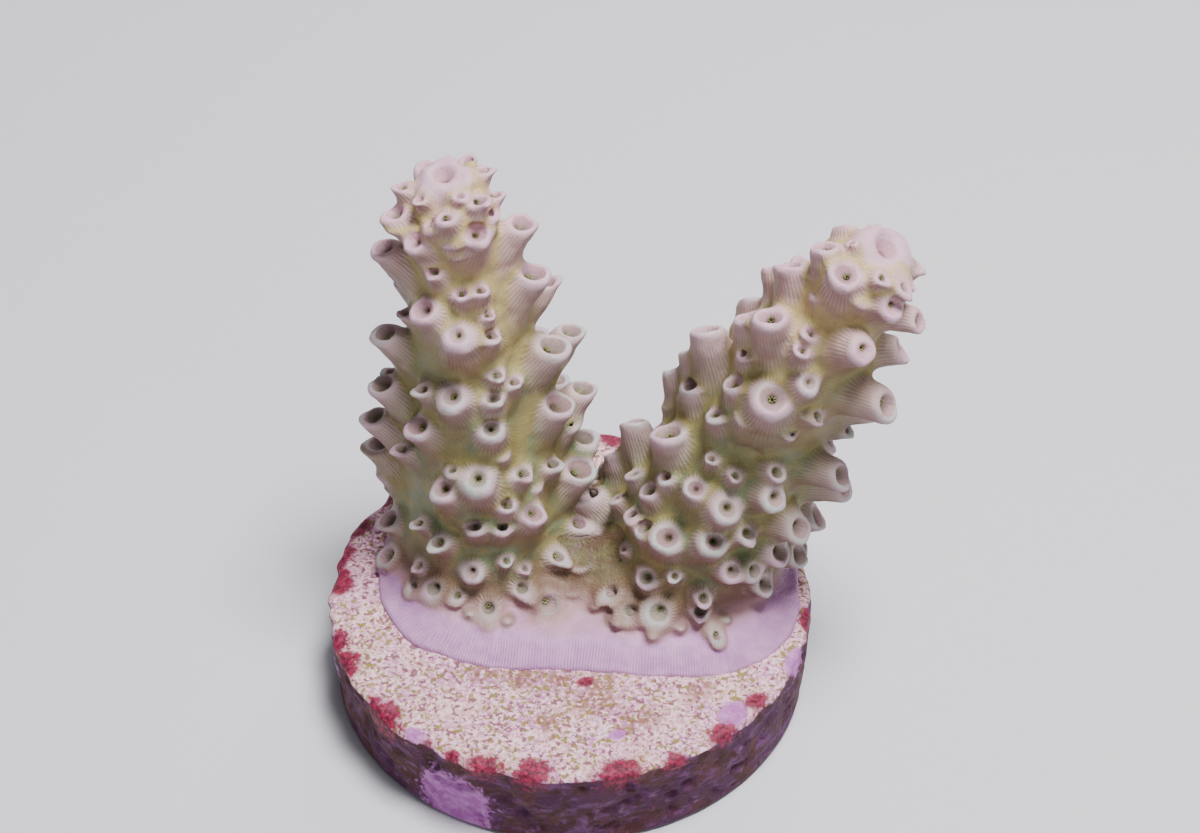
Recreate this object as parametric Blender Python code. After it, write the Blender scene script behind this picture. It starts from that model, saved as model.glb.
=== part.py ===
"""An acropora coral with two branches, grown over a round frag plug.

The coral is split at its main forks: the encrusting base, the left branch and the right branch.
Sizes are in millimetres, and each mesh is scaled to metres when it is made. +Z is up, +X is to the
right and -Y is toward the viewer. The origin is the centre of the plug's flat underside.
"""
import random
from math import cos, pi, radians, sin

import bmesh
import bpy
from mathutils import Matrix, Vector

MM = 0.001

# Driving dimensions of the plug
PLUG_RADIUS = 12.5
PLUG_UNDER_RADIUS = 12.2
PLUG_HEIGHT = 5.2
PLUG_CHAMFER = 0.35
PLUG_STEPS = 48

# Gap between pieces that touch
GAP = 0.25

# The encrusting sheet: its thickness, and its outline on the plug's top, chosen by eye
SHEET_THICKNESS = 0.4
SHEET_ROUND = 0.12
SHEET_OUTLINE = (
    (-10.0, 0.9), (-9.4, -1.6), (-7.6, -3.9), (-4.6, -5.1), (0.0, -5.5), (4.6, -5.9),
    (8.6, -5.5), (11.0, -3.4), (11.9, 0.6), (11.0, 4.4), (8.0, 7.2), (4.6, 7.4),
    (1.5, 6.9), (-1.3, 8.3), (-4.6, 9.0), (-7.6, 7.4), (-9.1, 4.4),
)

# The forks: where the branches part from the base, above the plug's top
FORK_HEIGHT = 1.4
FOOT_SPREAD = 0.9
MOUND_CENTRE = (1.3, 3.0)
MOUND_SIZE = (3.4, 4.6, 2.9)

# How far up a corallite leans toward the tip of its branch, in degrees
LEAN_AT_FOOT = 8
LEAN_ALONG = 52
LEAN_RIGHT_OUTER = 28
LEAN_FULL_HEIGHT = 7.0

# A corallite: its root, lip and cup as shares of its rim's radius, how far the corners of its flat
# sides stand past a round rim, how deep it is rooted, and the smallest that is made as a shape
ROOT_SHARE = 1.2
LIP_SHARE = 0.74
LIP_DROP = 0.3
CUP_SHARE = 1.0
CORNER_SHARE = 1.1
ROOT_DEPTH = 0.7
SMALLEST_RADIUS = 0.5

# Corallites on the hidden backs: where they may stand, and in each pass how many places are tried,
# how far apart they keep, and the least and most that they stand out and measure
BACK_TURNS = (80, 280)
BACK_LOWEST = 2.2
BACK_STAND = 0.8
BACK_PASSES = (
    (900, 2.15, (1.2, 1.9), (0.7, 0.88)),
    (500, 1.6, (0.6, 0.9), (0.4, 0.52)),
)
TIP_REACH = 7.0
TIP_SLIM = 0.45

# Each branch: points along its axis above the plug's top, the trunk's radius at each point, the
# radius of the corallite at its tip, and the seed for its hidden back
LEFT = {
    "axis": ((-4.2, 3.6, 0), (-4.3, 3.7, 6), (-4.75, 3.9, 12), (-5.2, 4.1, 18), (-5.85, 4.3, 24)),
    "radii": (4.7, 3.8, 3.0, 2.15, 1.3),
    "tip": 1.3,
    "seed": 11,
}
RIGHT = {
    "axis": ((6.0, 2.3, 0), (7.6, 2.1, 5.5), (9.8, 1.7, 11), (12.3, 1.25, 16.8), (15.0, 0.8, 22.4)),
    "radii": (4.6, 3.8, 3.0, 2.4, 1.4),
    "tip": 1.45,
    "seed": 29,
}

# Corallites of the seen side: height of the mouth along the branch, turn round it in degrees (0
# faces the viewer, + is to the right), how far the mouth stands off the trunk, and the rim's radius
LEFT_CORALLITES = (
    (23.4, 48, 0.8, 0.55), (22.8, 80, 0.8, 0.45), (22.6, -72, 1.2, 0.6), (23.2, 2, 0.9, 0.55),
    (21.9, 33, 1.1, 0.7), (21.0, 85, 1.8, 0.75), (21.7, -38, 1.1, 0.6), (20.1, -88, 1.7, 0.7),
    (18.3, 80, 1.7, 0.85), (18.8, 5, 0.5, 0.45), (18.8, 25, 0.6, 0.45), (16.3, 26, 0.7, 0.5),
    (18.1, -32, 1.2, 0.75), (17.0, -2, 1.4, 0.8), (18.2, -105, 1.3, 0.5), (14.9, -85, 1.6, 0.75),
    (16.4, 105, 1.8, 0.55), (14.2, 75, 1.8, 0.9), (13.6, 98, 2.4, 0.7), (14.0, 26, 0.5, 0.45),
    (13.2, 40, 0.5, 0.45), (13.2, -40, 0.7, 0.5), (13.5, -11, 1.3, 0.8), (12.9, 19, 0.7, 0.55),
    (10.9, 68, 1.5, 0.85), (10.0, 95, 2.2, 0.75), (10.8, -110, 1.4, 0.5), (9.6, -88, 2.1, 0.75),
    (11.1, -42, 1.1, 0.75), (11.2, 14, 0.9, 0.7), (8.1, 31, 0.6, 0.55), (8.8, 0, 1.4, 0.9),
    (7.8, -24, 1.1, 0.7), (6.7, 16, 0.7, 0.5), (5.9, 32, 1.1, 0.7), (5.6, -5, 0.7, 0.5),
    (5.3, 12, 0.5, 0.45), (4.4, -28, 0.9, 0.55), (6.3, 75, 1.4, 0.85), (6.8, 95, 1.5, 0.8),
    (7.5, 57, 0.6, 0.5), (9.0, -60, 1.0, 0.45), (3.2, 68, 0.8, 0.55), (2.9, -78, 1.1, 0.7),
    (2.8, -8, 0.9, 0.6), (2.6, 45, 0.8, 0.5), (1.2, -68, 1.0, 0.65), (1.6, 20, 0.6, 0.5),
    (0.3, 33, 1.0, 0.7), (0.8, 1, 0.7, 0.55), (1.3, -30, 0.8, 0.65),
)
RIGHT_CORALLITES = (
    (23.2, -80, 1.4, 0.7), (23.3, -42, 1.3, 0.8), (23.9, 25, 0.8, 0.45), (23.0, 17, 1.3, 0.65),
    (21.9, 62, 1.7, 0.6), (20.9, -92, 1.6, 0.75), (19.3, -115, 1.6, 0.6), (15.3, -95, 2.4, 0.85),
    (19.3, -62, 2.0, 0.85), (13.0, -105, 2.0, 0.65), (20.8, 8, 1.9, 0.75), (18.8, -30, 0.9, 0.45),
    (17.3, 52, 2.4, 0.85), (10.9, -112, 1.9, 0.75), (12.0, -88, 1.2, 0.65), (14.7, -58, 1.1, 0.6),
    (15.9, -27, 1.5, 1.0), (17.4, -10, 1.0, 0.6), (12.5, -56, 0.8, 0.5), (15.4, 15, 0.6, 0.45),
    (9.7, -73, 1.5, 0.9), (12.0, 52, 2.1, 0.75), (7.0, -108, 1.9, 0.75), (7.6, -58, 0.6, 0.45),
    (6.4, -62, 0.9, 0.6), (8.6, -36, 0.9, 0.6), (9.1, -12, 1.5, 0.8), (10.5, 12, 1.5, 0.7),
    (11.6, 8, 0.7, 0.5), (9.8, 75, 2.2, 0.8), (8.3, 42, 1.7, 0.8), (7.6, 10, 0.9, 0.55),
    (5.5, -34, 1.2, 0.8), (4.7, -50, 0.8, 0.6), (4.7, -62, 0.8, 0.5), (6.9, -9, 1.5, 0.75),
    (6.0, 40, 1.2, 0.7), (5.0, 60, 1.5, 0.75), (5.0, 10, 1.2, 0.6), (4.9, 25, 1.1, 0.6),
    (3.5, 38, 1.1, 0.65), (3.0, 0, 1.0, 0.5), (2.5, -35, 0.9, 0.6), (0.6, -47, 0.8, 0.5),
    (1.3, -20, 1.1, 0.8), (0.6, -33, 0.9, 0.55), (2.0, 1, 0.7, 0.5),
)

# Corallites of the mound between the branches: mouth, direction, and the rim's radius
MOUND_CORALLITES = (
    ((1.75, 4.5, 4.9), (0.05, -0.1, 1.0), 0.55),
    ((1.45, 3.4, 3.75), (-0.15, -0.35, 1.0), 0.7),
)
MOUND_TUBE_LENGTH = 3.0

# Corallites lower than this on a branch grow from the base, and none of a branch's own touch the mound
BASE_ROWS_BELOW = 1.8
MOUND_CLEAR = 0.5

# Colours and roughness seen in the photo
FINISHES = {
    "frag_plug": ((0.62, 0.47, 0.44, 1.0), 0.9),
    "encrusting_base": ((0.50, 0.26, 0.33, 1.0), 0.6),
    "left_branch": ((0.45, 0.38, 0.24, 1.0), 0.6),
    "right_branch": ((0.44, 0.39, 0.25, 1.0), 0.6),
}


def smooth_step(low, high, value):
    share = min(max((value - low) / (high - low), 0.0), 1.0)
    return share * share * (3.0 - 2.0 * share)


def curve_point(points, share):
    """A point on the smooth curve through evenly spaced points, for a share from 0 to 1."""
    points = [Vector(point) for point in points]
    points = [2 * points[0] - points[1], *points, 2 * points[-1] - points[-2]]
    spans = len(points) - 3
    place = min(max(share, 0.0), 1.0) * spans
    first = min(int(place), spans - 1)
    u = place - first
    a, b, c, d = points[first:first + 4]
    return 0.5 * (2 * b + (c - a) * u + (2 * a - 5 * b + 4 * c - d) * u * u + (3 * b - a - 3 * c + d) * u ** 3)


class Branch:
    """A tapering trunk, with places on it given by height along its axis and turn round it."""

    STEPS = 120

    def __init__(self, shape, lean_outer):
        self.shape = shape
        self.lean_outer = lean_outer
        points = [curve_point(shape["axis"], step / self.STEPS) for step in range(self.STEPS + 1)]
        self.points = [point + Vector((0, 0, PLUG_HEIGHT)) for point in points]
        self.lengths = [0.0]
        for near, far in zip(self.points, self.points[1:]):
            self.lengths.append(self.lengths[-1] + (far - near).length)
        self.length = self.lengths[-1]

    def share(self, height):
        """The share of the curve's spans passed at a height along it."""
        for step in range(self.STEPS):
            if height <= self.lengths[step + 1] or step == self.STEPS - 1:
                span = self.lengths[step + 1] - self.lengths[step]
                return (step + (height - self.lengths[step]) / span) / self.STEPS

    def centre(self, height):
        place = self.share(height) * self.STEPS
        step = min(max(int(place), 0), self.STEPS - 1)
        return self.points[step].lerp(self.points[step + 1], place - step)

    def along(self, height):
        return (self.centre(height + 0.2) - self.centre(height - 0.2)).normalized()

    def outward(self, height, turn):
        along = self.along(height)
        front = Vector((0, -1, 0))
        front = (front - along * front.dot(along)).normalized()
        side = along.cross(front)
        return front * cos(radians(turn)) + side * sin(radians(turn))

    def radius(self, height):
        radii = self.shape["radii"]
        place = min(max(self.share(height), 0.0), 1.0) * (len(radii) - 1)
        first = min(int(place), len(radii) - 2)
        return radii[first] + (radii[first + 1] - radii[first]) * (place - first)

    def surface(self, height, turn, stand=0.0):
        return self.centre(height) + self.outward(height, turn) * (self.radius(height) + stand)

    def corallite(self, height, turn, stand, radius):
        """The mouth, root and rim radius of one corallite, which leans toward the tip."""
        outer = smooth_step(-20, 40, turn if turn < 180 else turn - 360)
        full = LEAN_ALONG + (self.lean_outer - LEAN_ALONG) * outer
        lean = radians(LEAN_AT_FOOT + (full - LEAN_AT_FOOT) * smooth_step(0, LEAN_FULL_HEIGHT, height))
        direction = self.outward(height, turn) * cos(lean) + self.along(height) * sin(lean)
        mouth = self.surface(height, turn, stand)
        return mouth, mouth - direction * (stand / cos(lean) + ROOT_DEPTH), radius


def back_corallites(branch, seen):
    """Corallites that fill the hidden back evenly: large ones first, then small ones between."""
    rng = random.Random(branch.shape["seed"])
    taken = [branch.surface(height, turn, BACK_STAND) for height, turn, _, _ in seen]
    rows = []
    for tries, clear, stands, radii in BACK_PASSES:
        for _ in range(tries):
            height = rng.uniform(BACK_LOWEST, branch.length - 1.0)
            turn = rng.uniform(*BACK_TURNS)
            slim = 1.0 - TIP_SLIM * smooth_step(branch.length - TIP_REACH, branch.length, height)
            stand = rng.uniform(*stands) * slim
            radius = rng.uniform(*radii) * (1.0 + slim) / 2
            place = branch.surface(height, turn, BACK_STAND)
            if all((place - other).length > clear for other in taken):
                taken.append(place)
                rows.append((height, turn, stand, radius))
    return rows


def finish(obj, node):
    """Gives a piece its name, material and place in the coral's collection."""
    colour, roughness = FINISHES[node]
    material = bpy.data.materials.new(node)
    material.use_nodes = True
    shader = material.node_tree.nodes["Principled BSDF"]
    shader.inputs["Base Color"].default_value = colour
    shader.inputs["Roughness"].default_value = roughness
    obj.name = node
    obj.data.name = node
    obj.hide_render = False
    obj.display_type = "TEXTURED"
    obj.data.materials.clear()
    obj.data.materials.append(material)
    obj.data.shade_smooth()
    obj.data.set_sharp_from_angle(angle=radians(40))
    for collection in list(obj.users_collection):
        collection.objects.unlink(obj)
    PIECES.objects.link(obj)


def shape_object(name, bm):
    """An object that helps to form a piece, from a mesh in millimetres."""
    bmesh.ops.recalc_face_normals(bm, faces=bm.faces)
    bmesh.ops.scale(bm, vec=(MM, MM, MM), verts=bm.verts)
    mesh = bpy.data.meshes.new(name)
    bm.to_mesh(mesh)
    bm.free()
    obj = bpy.data.objects.new(name, mesh)
    obj.hide_render = True
    obj.display_type = "WIRE"
    SHAPES.objects.link(obj)
    return obj


def turned(name, profile, steps, matrix=Matrix()):
    """A closed turned solid: the profile runs from the axis, out, and back to the axis."""
    bm = bmesh.new()
    verts = [bm.verts.new((radius, 0, height)) for radius, height in profile]
    edges = [bm.edges.new(pair) for pair in zip(verts, verts[1:])]
    bmesh.ops.spin(
        bm, geom=verts + edges, axis=(0, 0, 1), cent=(0, 0, 0), steps=steps, angle=2 * pi, use_merge=True
    )
    bmesh.ops.remove_doubles(bm, verts=bm.verts, dist=0.0001)
    bmesh.ops.transform(bm, matrix=matrix, verts=bm.verts)
    return shape_object(name, bm)


def corallite(mouth, root, radius, sides):
    """A tube that widens to a rounded lip, with a cup in its mouth."""
    axis = mouth - root
    corner = radius * CORNER_SHARE
    profile = (
        (0, 0),
        (corner * ROOT_SHARE, 0),
        (corner, axis.length - radius * LIP_DROP),
        (corner * LIP_SHARE, axis.length),
        (0, axis.length - radius * CUP_SHARE),
    )
    matrix = Matrix.Translation(root) @ axis.to_track_quat("Z", "Y").to_matrix().to_4x4()
    return turned("corallite", profile, sides, matrix)


def sides_of(radius):
    return 7 if radius >= 0.7 else 6 if radius >= 0.55 else 5


def mesh_of(curve):
    """A mesh of a curve object, with its caps welded. The curve is removed."""
    evaluated = curve.evaluated_get(bpy.context.evaluated_depsgraph_get())
    mesh = bpy.data.meshes.new_from_object(evaluated)
    bm = bmesh.new()
    bm.from_mesh(mesh)
    bmesh.ops.remove_doubles(bm, verts=bm.verts, dist=0.000001)
    bmesh.ops.recalc_face_normals(bm, faces=bm.faces)
    bm.to_mesh(mesh)
    bm.free()
    obj = bpy.data.objects.new(curve.name, mesh)
    obj.matrix_world = curve.matrix_world
    obj.hide_render = True
    obj.display_type = "WIRE"
    SHAPES.objects.link(obj)
    data = curve.data
    bpy.data.objects.remove(curve)
    bpy.data.curves.remove(data)
    return obj


def trunk(name, branch, low, high, grow=0.0, sections=11):
    """The trunk from one height along its axis to another, as a tapering round bar."""
    data = bpy.data.curves.new(name, "CURVE")
    data.dimensions = "3D"
    data.bevel_depth = MM
    data.bevel_resolution = 5
    data.use_fill_caps = True
    spline = data.splines.new("POLY")
    spline.points.add(sections - 1)
    for number, point in enumerate(spline.points):
        height = low + (high - low) * number / (sections - 1)
        point.co = (*(branch.centre(height) * MM), 1.0)
        point.radius = branch.radius(height) + grow
    obj = bpy.data.objects.new(name, data)
    SHAPES.objects.link(obj)
    bpy.context.view_layer.update()
    return mesh_of(obj)


def block(name, low, high):
    """A box between two corners."""
    bm = bmesh.new()
    bmesh.ops.create_cube(bm, size=1.0)
    size = Vector(high) - Vector(low)
    bmesh.ops.scale(bm, vec=size, verts=bm.verts)
    bmesh.ops.translate(bm, vec=(Vector(high) + Vector(low)) / 2, verts=bm.verts)
    return shape_object(name, bm)


def apply_boolean(obj, others, operation):
    """Joins or cuts an object with others, and puts the result in its mesh."""
    group = bpy.data.collections.new("operands")
    for other in others:
        group.objects.link(other)
    modifier = obj.modifiers.new(operation.title(), "BOOLEAN")
    modifier.operation = operation
    modifier.operand_type = "COLLECTION"
    modifier.collection = group
    modifier.solver = "EXACT"
    bpy.context.view_layer.update()
    evaluated = obj.evaluated_get(bpy.context.evaluated_depsgraph_get())
    mesh = bpy.data.meshes.new_from_object(evaluated)
    obj.modifiers.clear()
    obj.data = mesh
    bpy.data.collections.remove(group)
    for other in others:
        bpy.data.objects.remove(other)


def below(height):
    """A block that fills everything under a height above the plug's top."""
    reach = 2 * PLUG_RADIUS
    return block("below", (-reach, -reach, -reach), (reach, reach, PLUG_HEIGHT + height))


def make_plug():
    """The plug: a turned disc that narrows a little toward its underside."""
    profile = (
        (0, PLUG_HEIGHT),
        (PLUG_RADIUS - PLUG_CHAMFER, PLUG_HEIGHT),
        (PLUG_RADIUS, PLUG_HEIGHT - PLUG_CHAMFER),
        (PLUG_UNDER_RADIUS, PLUG_CHAMFER),
        (PLUG_UNDER_RADIUS - PLUG_CHAMFER, 0),
        (0, 0),
    )
    plug = turned("plug", profile, PLUG_STEPS)
    finish(plug, "frag_plug")


def make_branch(node, branch, rows):
    """One branch: its trunk with every corallite joined to it, cut flat at the fork."""
    tip = branch.shape["tip"]
    stem = trunk(node, branch, -0.5, branch.length - 0.5 * tip)
    top = branch.centre(branch.length)
    tubes = [corallite(top, branch.centre(branch.length - 2.0 * tip), tip, 10)]
    for row in rows:
        mouth, root, radius = branch.corallite(*row)
        tubes.append(corallite(mouth, root, radius, sides_of(radius)))
    apply_boolean(stem, tubes, "UNION")
    apply_boolean(stem, [below(FORK_HEIGHT + GAP / 2)], "DIFFERENCE")
    finish(stem, node)


def make_sheet():
    """The encrusting sheet: a flat outline with rounded edges, lying over the plug."""
    data = bpy.data.curves.new("sheet", "CURVE")
    data.dimensions = "2D"
    data.fill_mode = "BOTH"
    data.extrude = (SHEET_THICKNESS / 2 - SHEET_ROUND) * MM
    data.bevel_depth = SHEET_ROUND * MM
    data.bevel_resolution = 0
    data.offset = -SHEET_ROUND * MM
    data.resolution_u = 2
    data.render_resolution_u = 2
    spline = data.splines.new("BEZIER")
    spline.use_cyclic_u = True
    spline.bezier_points.add(len(SHEET_OUTLINE) - 1)
    for point, (x, y) in zip(spline.bezier_points, SHEET_OUTLINE):
        point.co = Vector((x, y, 0)) * MM
        point.handle_left_type = "AUTO"
        point.handle_right_type = "AUTO"
    obj = bpy.data.objects.new("sheet", data)
    obj.location = (0, 0, (PLUG_HEIGHT + GAP + SHEET_THICKNESS / 2) * MM)
    SHAPES.objects.link(obj)
    bpy.context.view_layer.update()
    return mesh_of(obj)


def make_foot(branch):
    """The spread foot of a branch, up to the fork."""
    height = FORK_HEIGHT - GAP / 2 - GAP
    middle = branch.centre(FORK_HEIGHT)
    bm = bmesh.new()
    bmesh.ops.create_cone(
        bm, cap_ends=True, segments=24, depth=height,
        radius1=branch.radius(0) + FOOT_SPREAD, radius2=branch.radius(FORK_HEIGHT),
    )
    bmesh.ops.translate(bm, vec=(middle.x, middle.y, PLUG_HEIGHT + GAP + height / 2), verts=bm.verts)
    return shape_object("foot", bm)


def make_mound():
    """The low mound where the branches meet."""
    bm = bmesh.new()
    bmesh.ops.create_uvsphere(bm, u_segments=16, v_segments=10, radius=1.0)
    bmesh.ops.scale(bm, vec=MOUND_SIZE, verts=bm.verts)
    bmesh.ops.translate(bm, vec=(*MOUND_CENTRE, PLUG_HEIGHT + GAP), verts=bm.verts)
    return shape_object("mound", bm)


def make_base(branches, rows):
    """The encrusting base: the sheet, the feet and the mound in one, clear of the branches."""
    rise = make_mound()
    joined = [make_foot(branch) for branch in branches]
    for mouth, direction, radius in MOUND_CORALLITES:
        mouth = Vector(mouth) + Vector((0, 0, PLUG_HEIGHT))
        root = mouth - Vector(direction).normalized() * MOUND_TUBE_LENGTH
        joined.append(corallite(mouth, root, radius, sides_of(radius)))
    for branch, row in rows:
        mouth, root, radius = branch.corallite(*row)
        joined.append(corallite(mouth, root, radius, sides_of(radius)))
    apply_boolean(rise, joined, "UNION")
    apply_boolean(rise, [below(GAP + SHEET_THICKNESS / 2)], "DIFFERENCE")
    for branch in branches:
        room = trunk("room", branch, -1.0, 9.0, GAP, 6)
        apply_boolean(room, [below(FORK_HEIGHT - GAP / 2)], "DIFFERENCE")
        apply_boolean(rise, [room], "DIFFERENCE")
    base = make_sheet()
    apply_boolean(base, [rise], "UNION")
    finish(base, "encrusting_base")


def clear_of_mound(branch, row):
    """Whether a corallite of a branch stays clear of the mound."""
    mouth, root, radius = branch.corallite(*row)
    for place in (mouth, mouth.lerp(root, 0.5)):
        point = place - Vector((*MOUND_CENTRE, PLUG_HEIGHT + GAP))
        reach = Vector([part / (size + radius + MOUND_CLEAR) for part, size in zip(point, MOUND_SIZE)])
        if reach.length < 1.0:
            return False
    return True


def main():
    left = Branch(LEFT, LEAN_ALONG)
    right = Branch(RIGHT, LEAN_RIGHT_OUTER)
    make_plug()
    base_rows = []
    for node, branch, seen in (
        ("left_branch", left, LEFT_CORALLITES),
        ("right_branch", right, RIGHT_CORALLITES),
    ):
        rows = list(seen) + back_corallites(branch, seen)
        rows = [row for row in rows if row[3] >= SMALLEST_RADIUS]
        base_rows += [(branch, row) for row in rows if row[0] < BASE_ROWS_BELOW]
        own = [row for row in rows if row[0] >= BASE_ROWS_BELOW and clear_of_mound(branch, row)]
        make_branch(node, branch, own)
    make_base((left, right), base_rows)


for existing in list(bpy.data.objects):
    bpy.data.objects.remove(existing)
PIECES = bpy.data.collections.new("acropora_coral")
SHAPES = bpy.data.collections.new("shapes")
bpy.context.scene.collection.children.link(PIECES)
bpy.context.scene.collection.children.link(SHAPES)
main()
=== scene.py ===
"""The looks of an acropora coral with two branches, grown over a round frag plug.

Each piece of the coral is one closed surface, found on a grid where a distance to the coral's forms
passes through zero: trunks, feet, mound and sheet, then a tube with a cupped mouth for every
corallite. Places and sizes are in millimetres in the CAD model's frame, and meshes are in metres.
"""
import random
from itertools import product
from math import cos, pi, radians, sin

import bpy
import numpy as np
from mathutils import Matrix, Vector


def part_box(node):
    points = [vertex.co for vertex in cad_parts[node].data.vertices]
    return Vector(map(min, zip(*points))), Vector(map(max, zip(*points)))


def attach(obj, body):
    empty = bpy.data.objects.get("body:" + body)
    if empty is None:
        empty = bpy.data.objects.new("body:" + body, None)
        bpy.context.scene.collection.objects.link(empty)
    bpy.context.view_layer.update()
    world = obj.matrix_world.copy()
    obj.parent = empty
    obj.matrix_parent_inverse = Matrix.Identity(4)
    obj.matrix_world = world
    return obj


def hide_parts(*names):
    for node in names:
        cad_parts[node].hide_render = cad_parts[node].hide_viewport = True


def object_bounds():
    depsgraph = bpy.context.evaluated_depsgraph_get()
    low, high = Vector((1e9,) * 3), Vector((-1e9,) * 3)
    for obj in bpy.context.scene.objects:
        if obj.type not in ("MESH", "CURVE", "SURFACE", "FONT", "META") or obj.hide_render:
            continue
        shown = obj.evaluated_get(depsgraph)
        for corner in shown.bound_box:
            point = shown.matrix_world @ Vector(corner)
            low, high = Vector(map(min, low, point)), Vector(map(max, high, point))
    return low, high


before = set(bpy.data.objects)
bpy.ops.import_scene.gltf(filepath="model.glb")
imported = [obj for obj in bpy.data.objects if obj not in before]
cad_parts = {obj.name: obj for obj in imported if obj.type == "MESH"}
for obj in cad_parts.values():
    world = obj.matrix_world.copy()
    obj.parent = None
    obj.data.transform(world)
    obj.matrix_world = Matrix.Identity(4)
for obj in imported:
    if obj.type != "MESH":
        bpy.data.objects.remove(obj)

MM = 0.001
CAD_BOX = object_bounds()

# The plug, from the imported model, and how round its upper and lower edges are
PLUG_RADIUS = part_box("frag_plug")[1][0] / MM
PLUG_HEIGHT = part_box("frag_plug")[1][2] / MM
PLUG_UNDER_RADIUS = PLUG_RADIUS - 0.3
PLUG_RIM_ROUND = 0.45
PLUG_FOOT_ROUND = 0.4

# The grid on which the coral's surface is found, its room round the coral, and the room round a trunk
# or the mound in which their distances are worked out
GRID_STEP = 0.125
GRID_ROOM = 0.8
ROOM = 1.5

# The sheet over the plug's top: its outline, how high its middle stands, how round its edge is, how
# deep it reaches into the plug, and how far apart the comb lines near its edge are
SHEET_OUTLINE = (
    (-10.0, 0.9), (-9.4, -1.6), (-7.6, -3.9), (-4.6, -5.1), (0.0, -5.5), (4.6, -5.9),
    (8.6, -5.5), (11.0, -3.4), (11.9, 0.6), (11.0, 4.4), (8.0, 7.2), (4.6, 7.4),
    (1.5, 6.9), (-1.3, 8.3), (-4.6, 9.0), (-7.6, 7.4), (-9.1, 4.4),
)
SHEET_TOP = 0.5
SHEET_EDGE = 0.2
SHEET_SUNK = 0.3
EDGE_LINES = 0.15

# The forks, the feet under them and the mound between them, above the plug's top
FORK_HEIGHT = 1.4
FOOT_SPREAD = 0.9
MOUND_CENTRE = (1.3, 3.0)
MOUND_SIZE = (3.4, 4.6, 2.9)

# How wide the fillets are round the feet and the mound, and at the forks, and how round the edge of
# a cup is as a share of its rim's radius
BASE_FILLET = 1.3
FORK_FILLET = 0.5
CUP_FILLET = 0.26

# How far the base goes on inside the branches, and how deep it lies under their surface there
BASE_OVERLAP = 0.3
BASE_UNDER = 0.03

# Unevenness of the coral: how high and wide its lumps are, and their seeds. The tips have more of it,
# which sets in over a range of heights.
LUMPS = ((0.055, 0.9, 5), (0.025, 0.4, 6))
TIP_LUMPS = (0.075, 0.5, 7)
TIP_LUMPS_RANGE = (24.0, 27.5)

# How far up a corallite leans toward the tip of its branch, in degrees
LEAN_AT_FOOT = 22
LEAN_ALONG = 52
LEAN_RIGHT_OUTER = 28
LEAN_FULL_HEIGHT = 7.0
ROOT_DEPTH = 0.7
LOWEST_MOUTH = 0.75

# How much further a mouth stands out near the foot, and a small mouth anywhere
FOOT_STAND = 0.28
SMALL_STAND = 0.16

# Corallites on the hidden backs: where they may stand, and in each pass how many places are tried,
# how far apart they keep, and the least and most that they stand out and measure
BACK_TURNS = (80, 280)
BACK_LOWEST = 2.2
BACK_STAND = 0.8
BACK_PASSES = (
    (900, 2.15, (1.2, 1.9), (0.7, 0.88)),
    (500, 1.6, (0.6, 0.9), (0.4, 0.52)),
)
TIP_REACH = 7.0
TIP_SLIM = 0.45

# Each branch: points along its axis above the plug's top, the trunk's radius at each point, the
# radius of the corallite at its tip, and the seed for its hidden back
LEFT = {
    "axis": ((-4.2, 3.6, 0), (-4.3, 3.7, 6), (-4.75, 3.9, 12), (-5.2, 4.1, 18), (-5.85, 4.3, 24)),
    "radii": (4.7, 3.8, 3.0, 2.15, 1.3),
    "tip": 1.3,
    "seed": 11,
}
RIGHT = {
    "axis": ((6.0, 2.3, 0), (7.6, 2.1, 5.5), (9.8, 1.7, 11), (12.3, 1.25, 16.8), (15.0, 0.8, 22.4)),
    "radii": (4.6, 3.8, 3.0, 2.4, 1.4),
    "tip": 1.45,
    "seed": 29,
}

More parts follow.
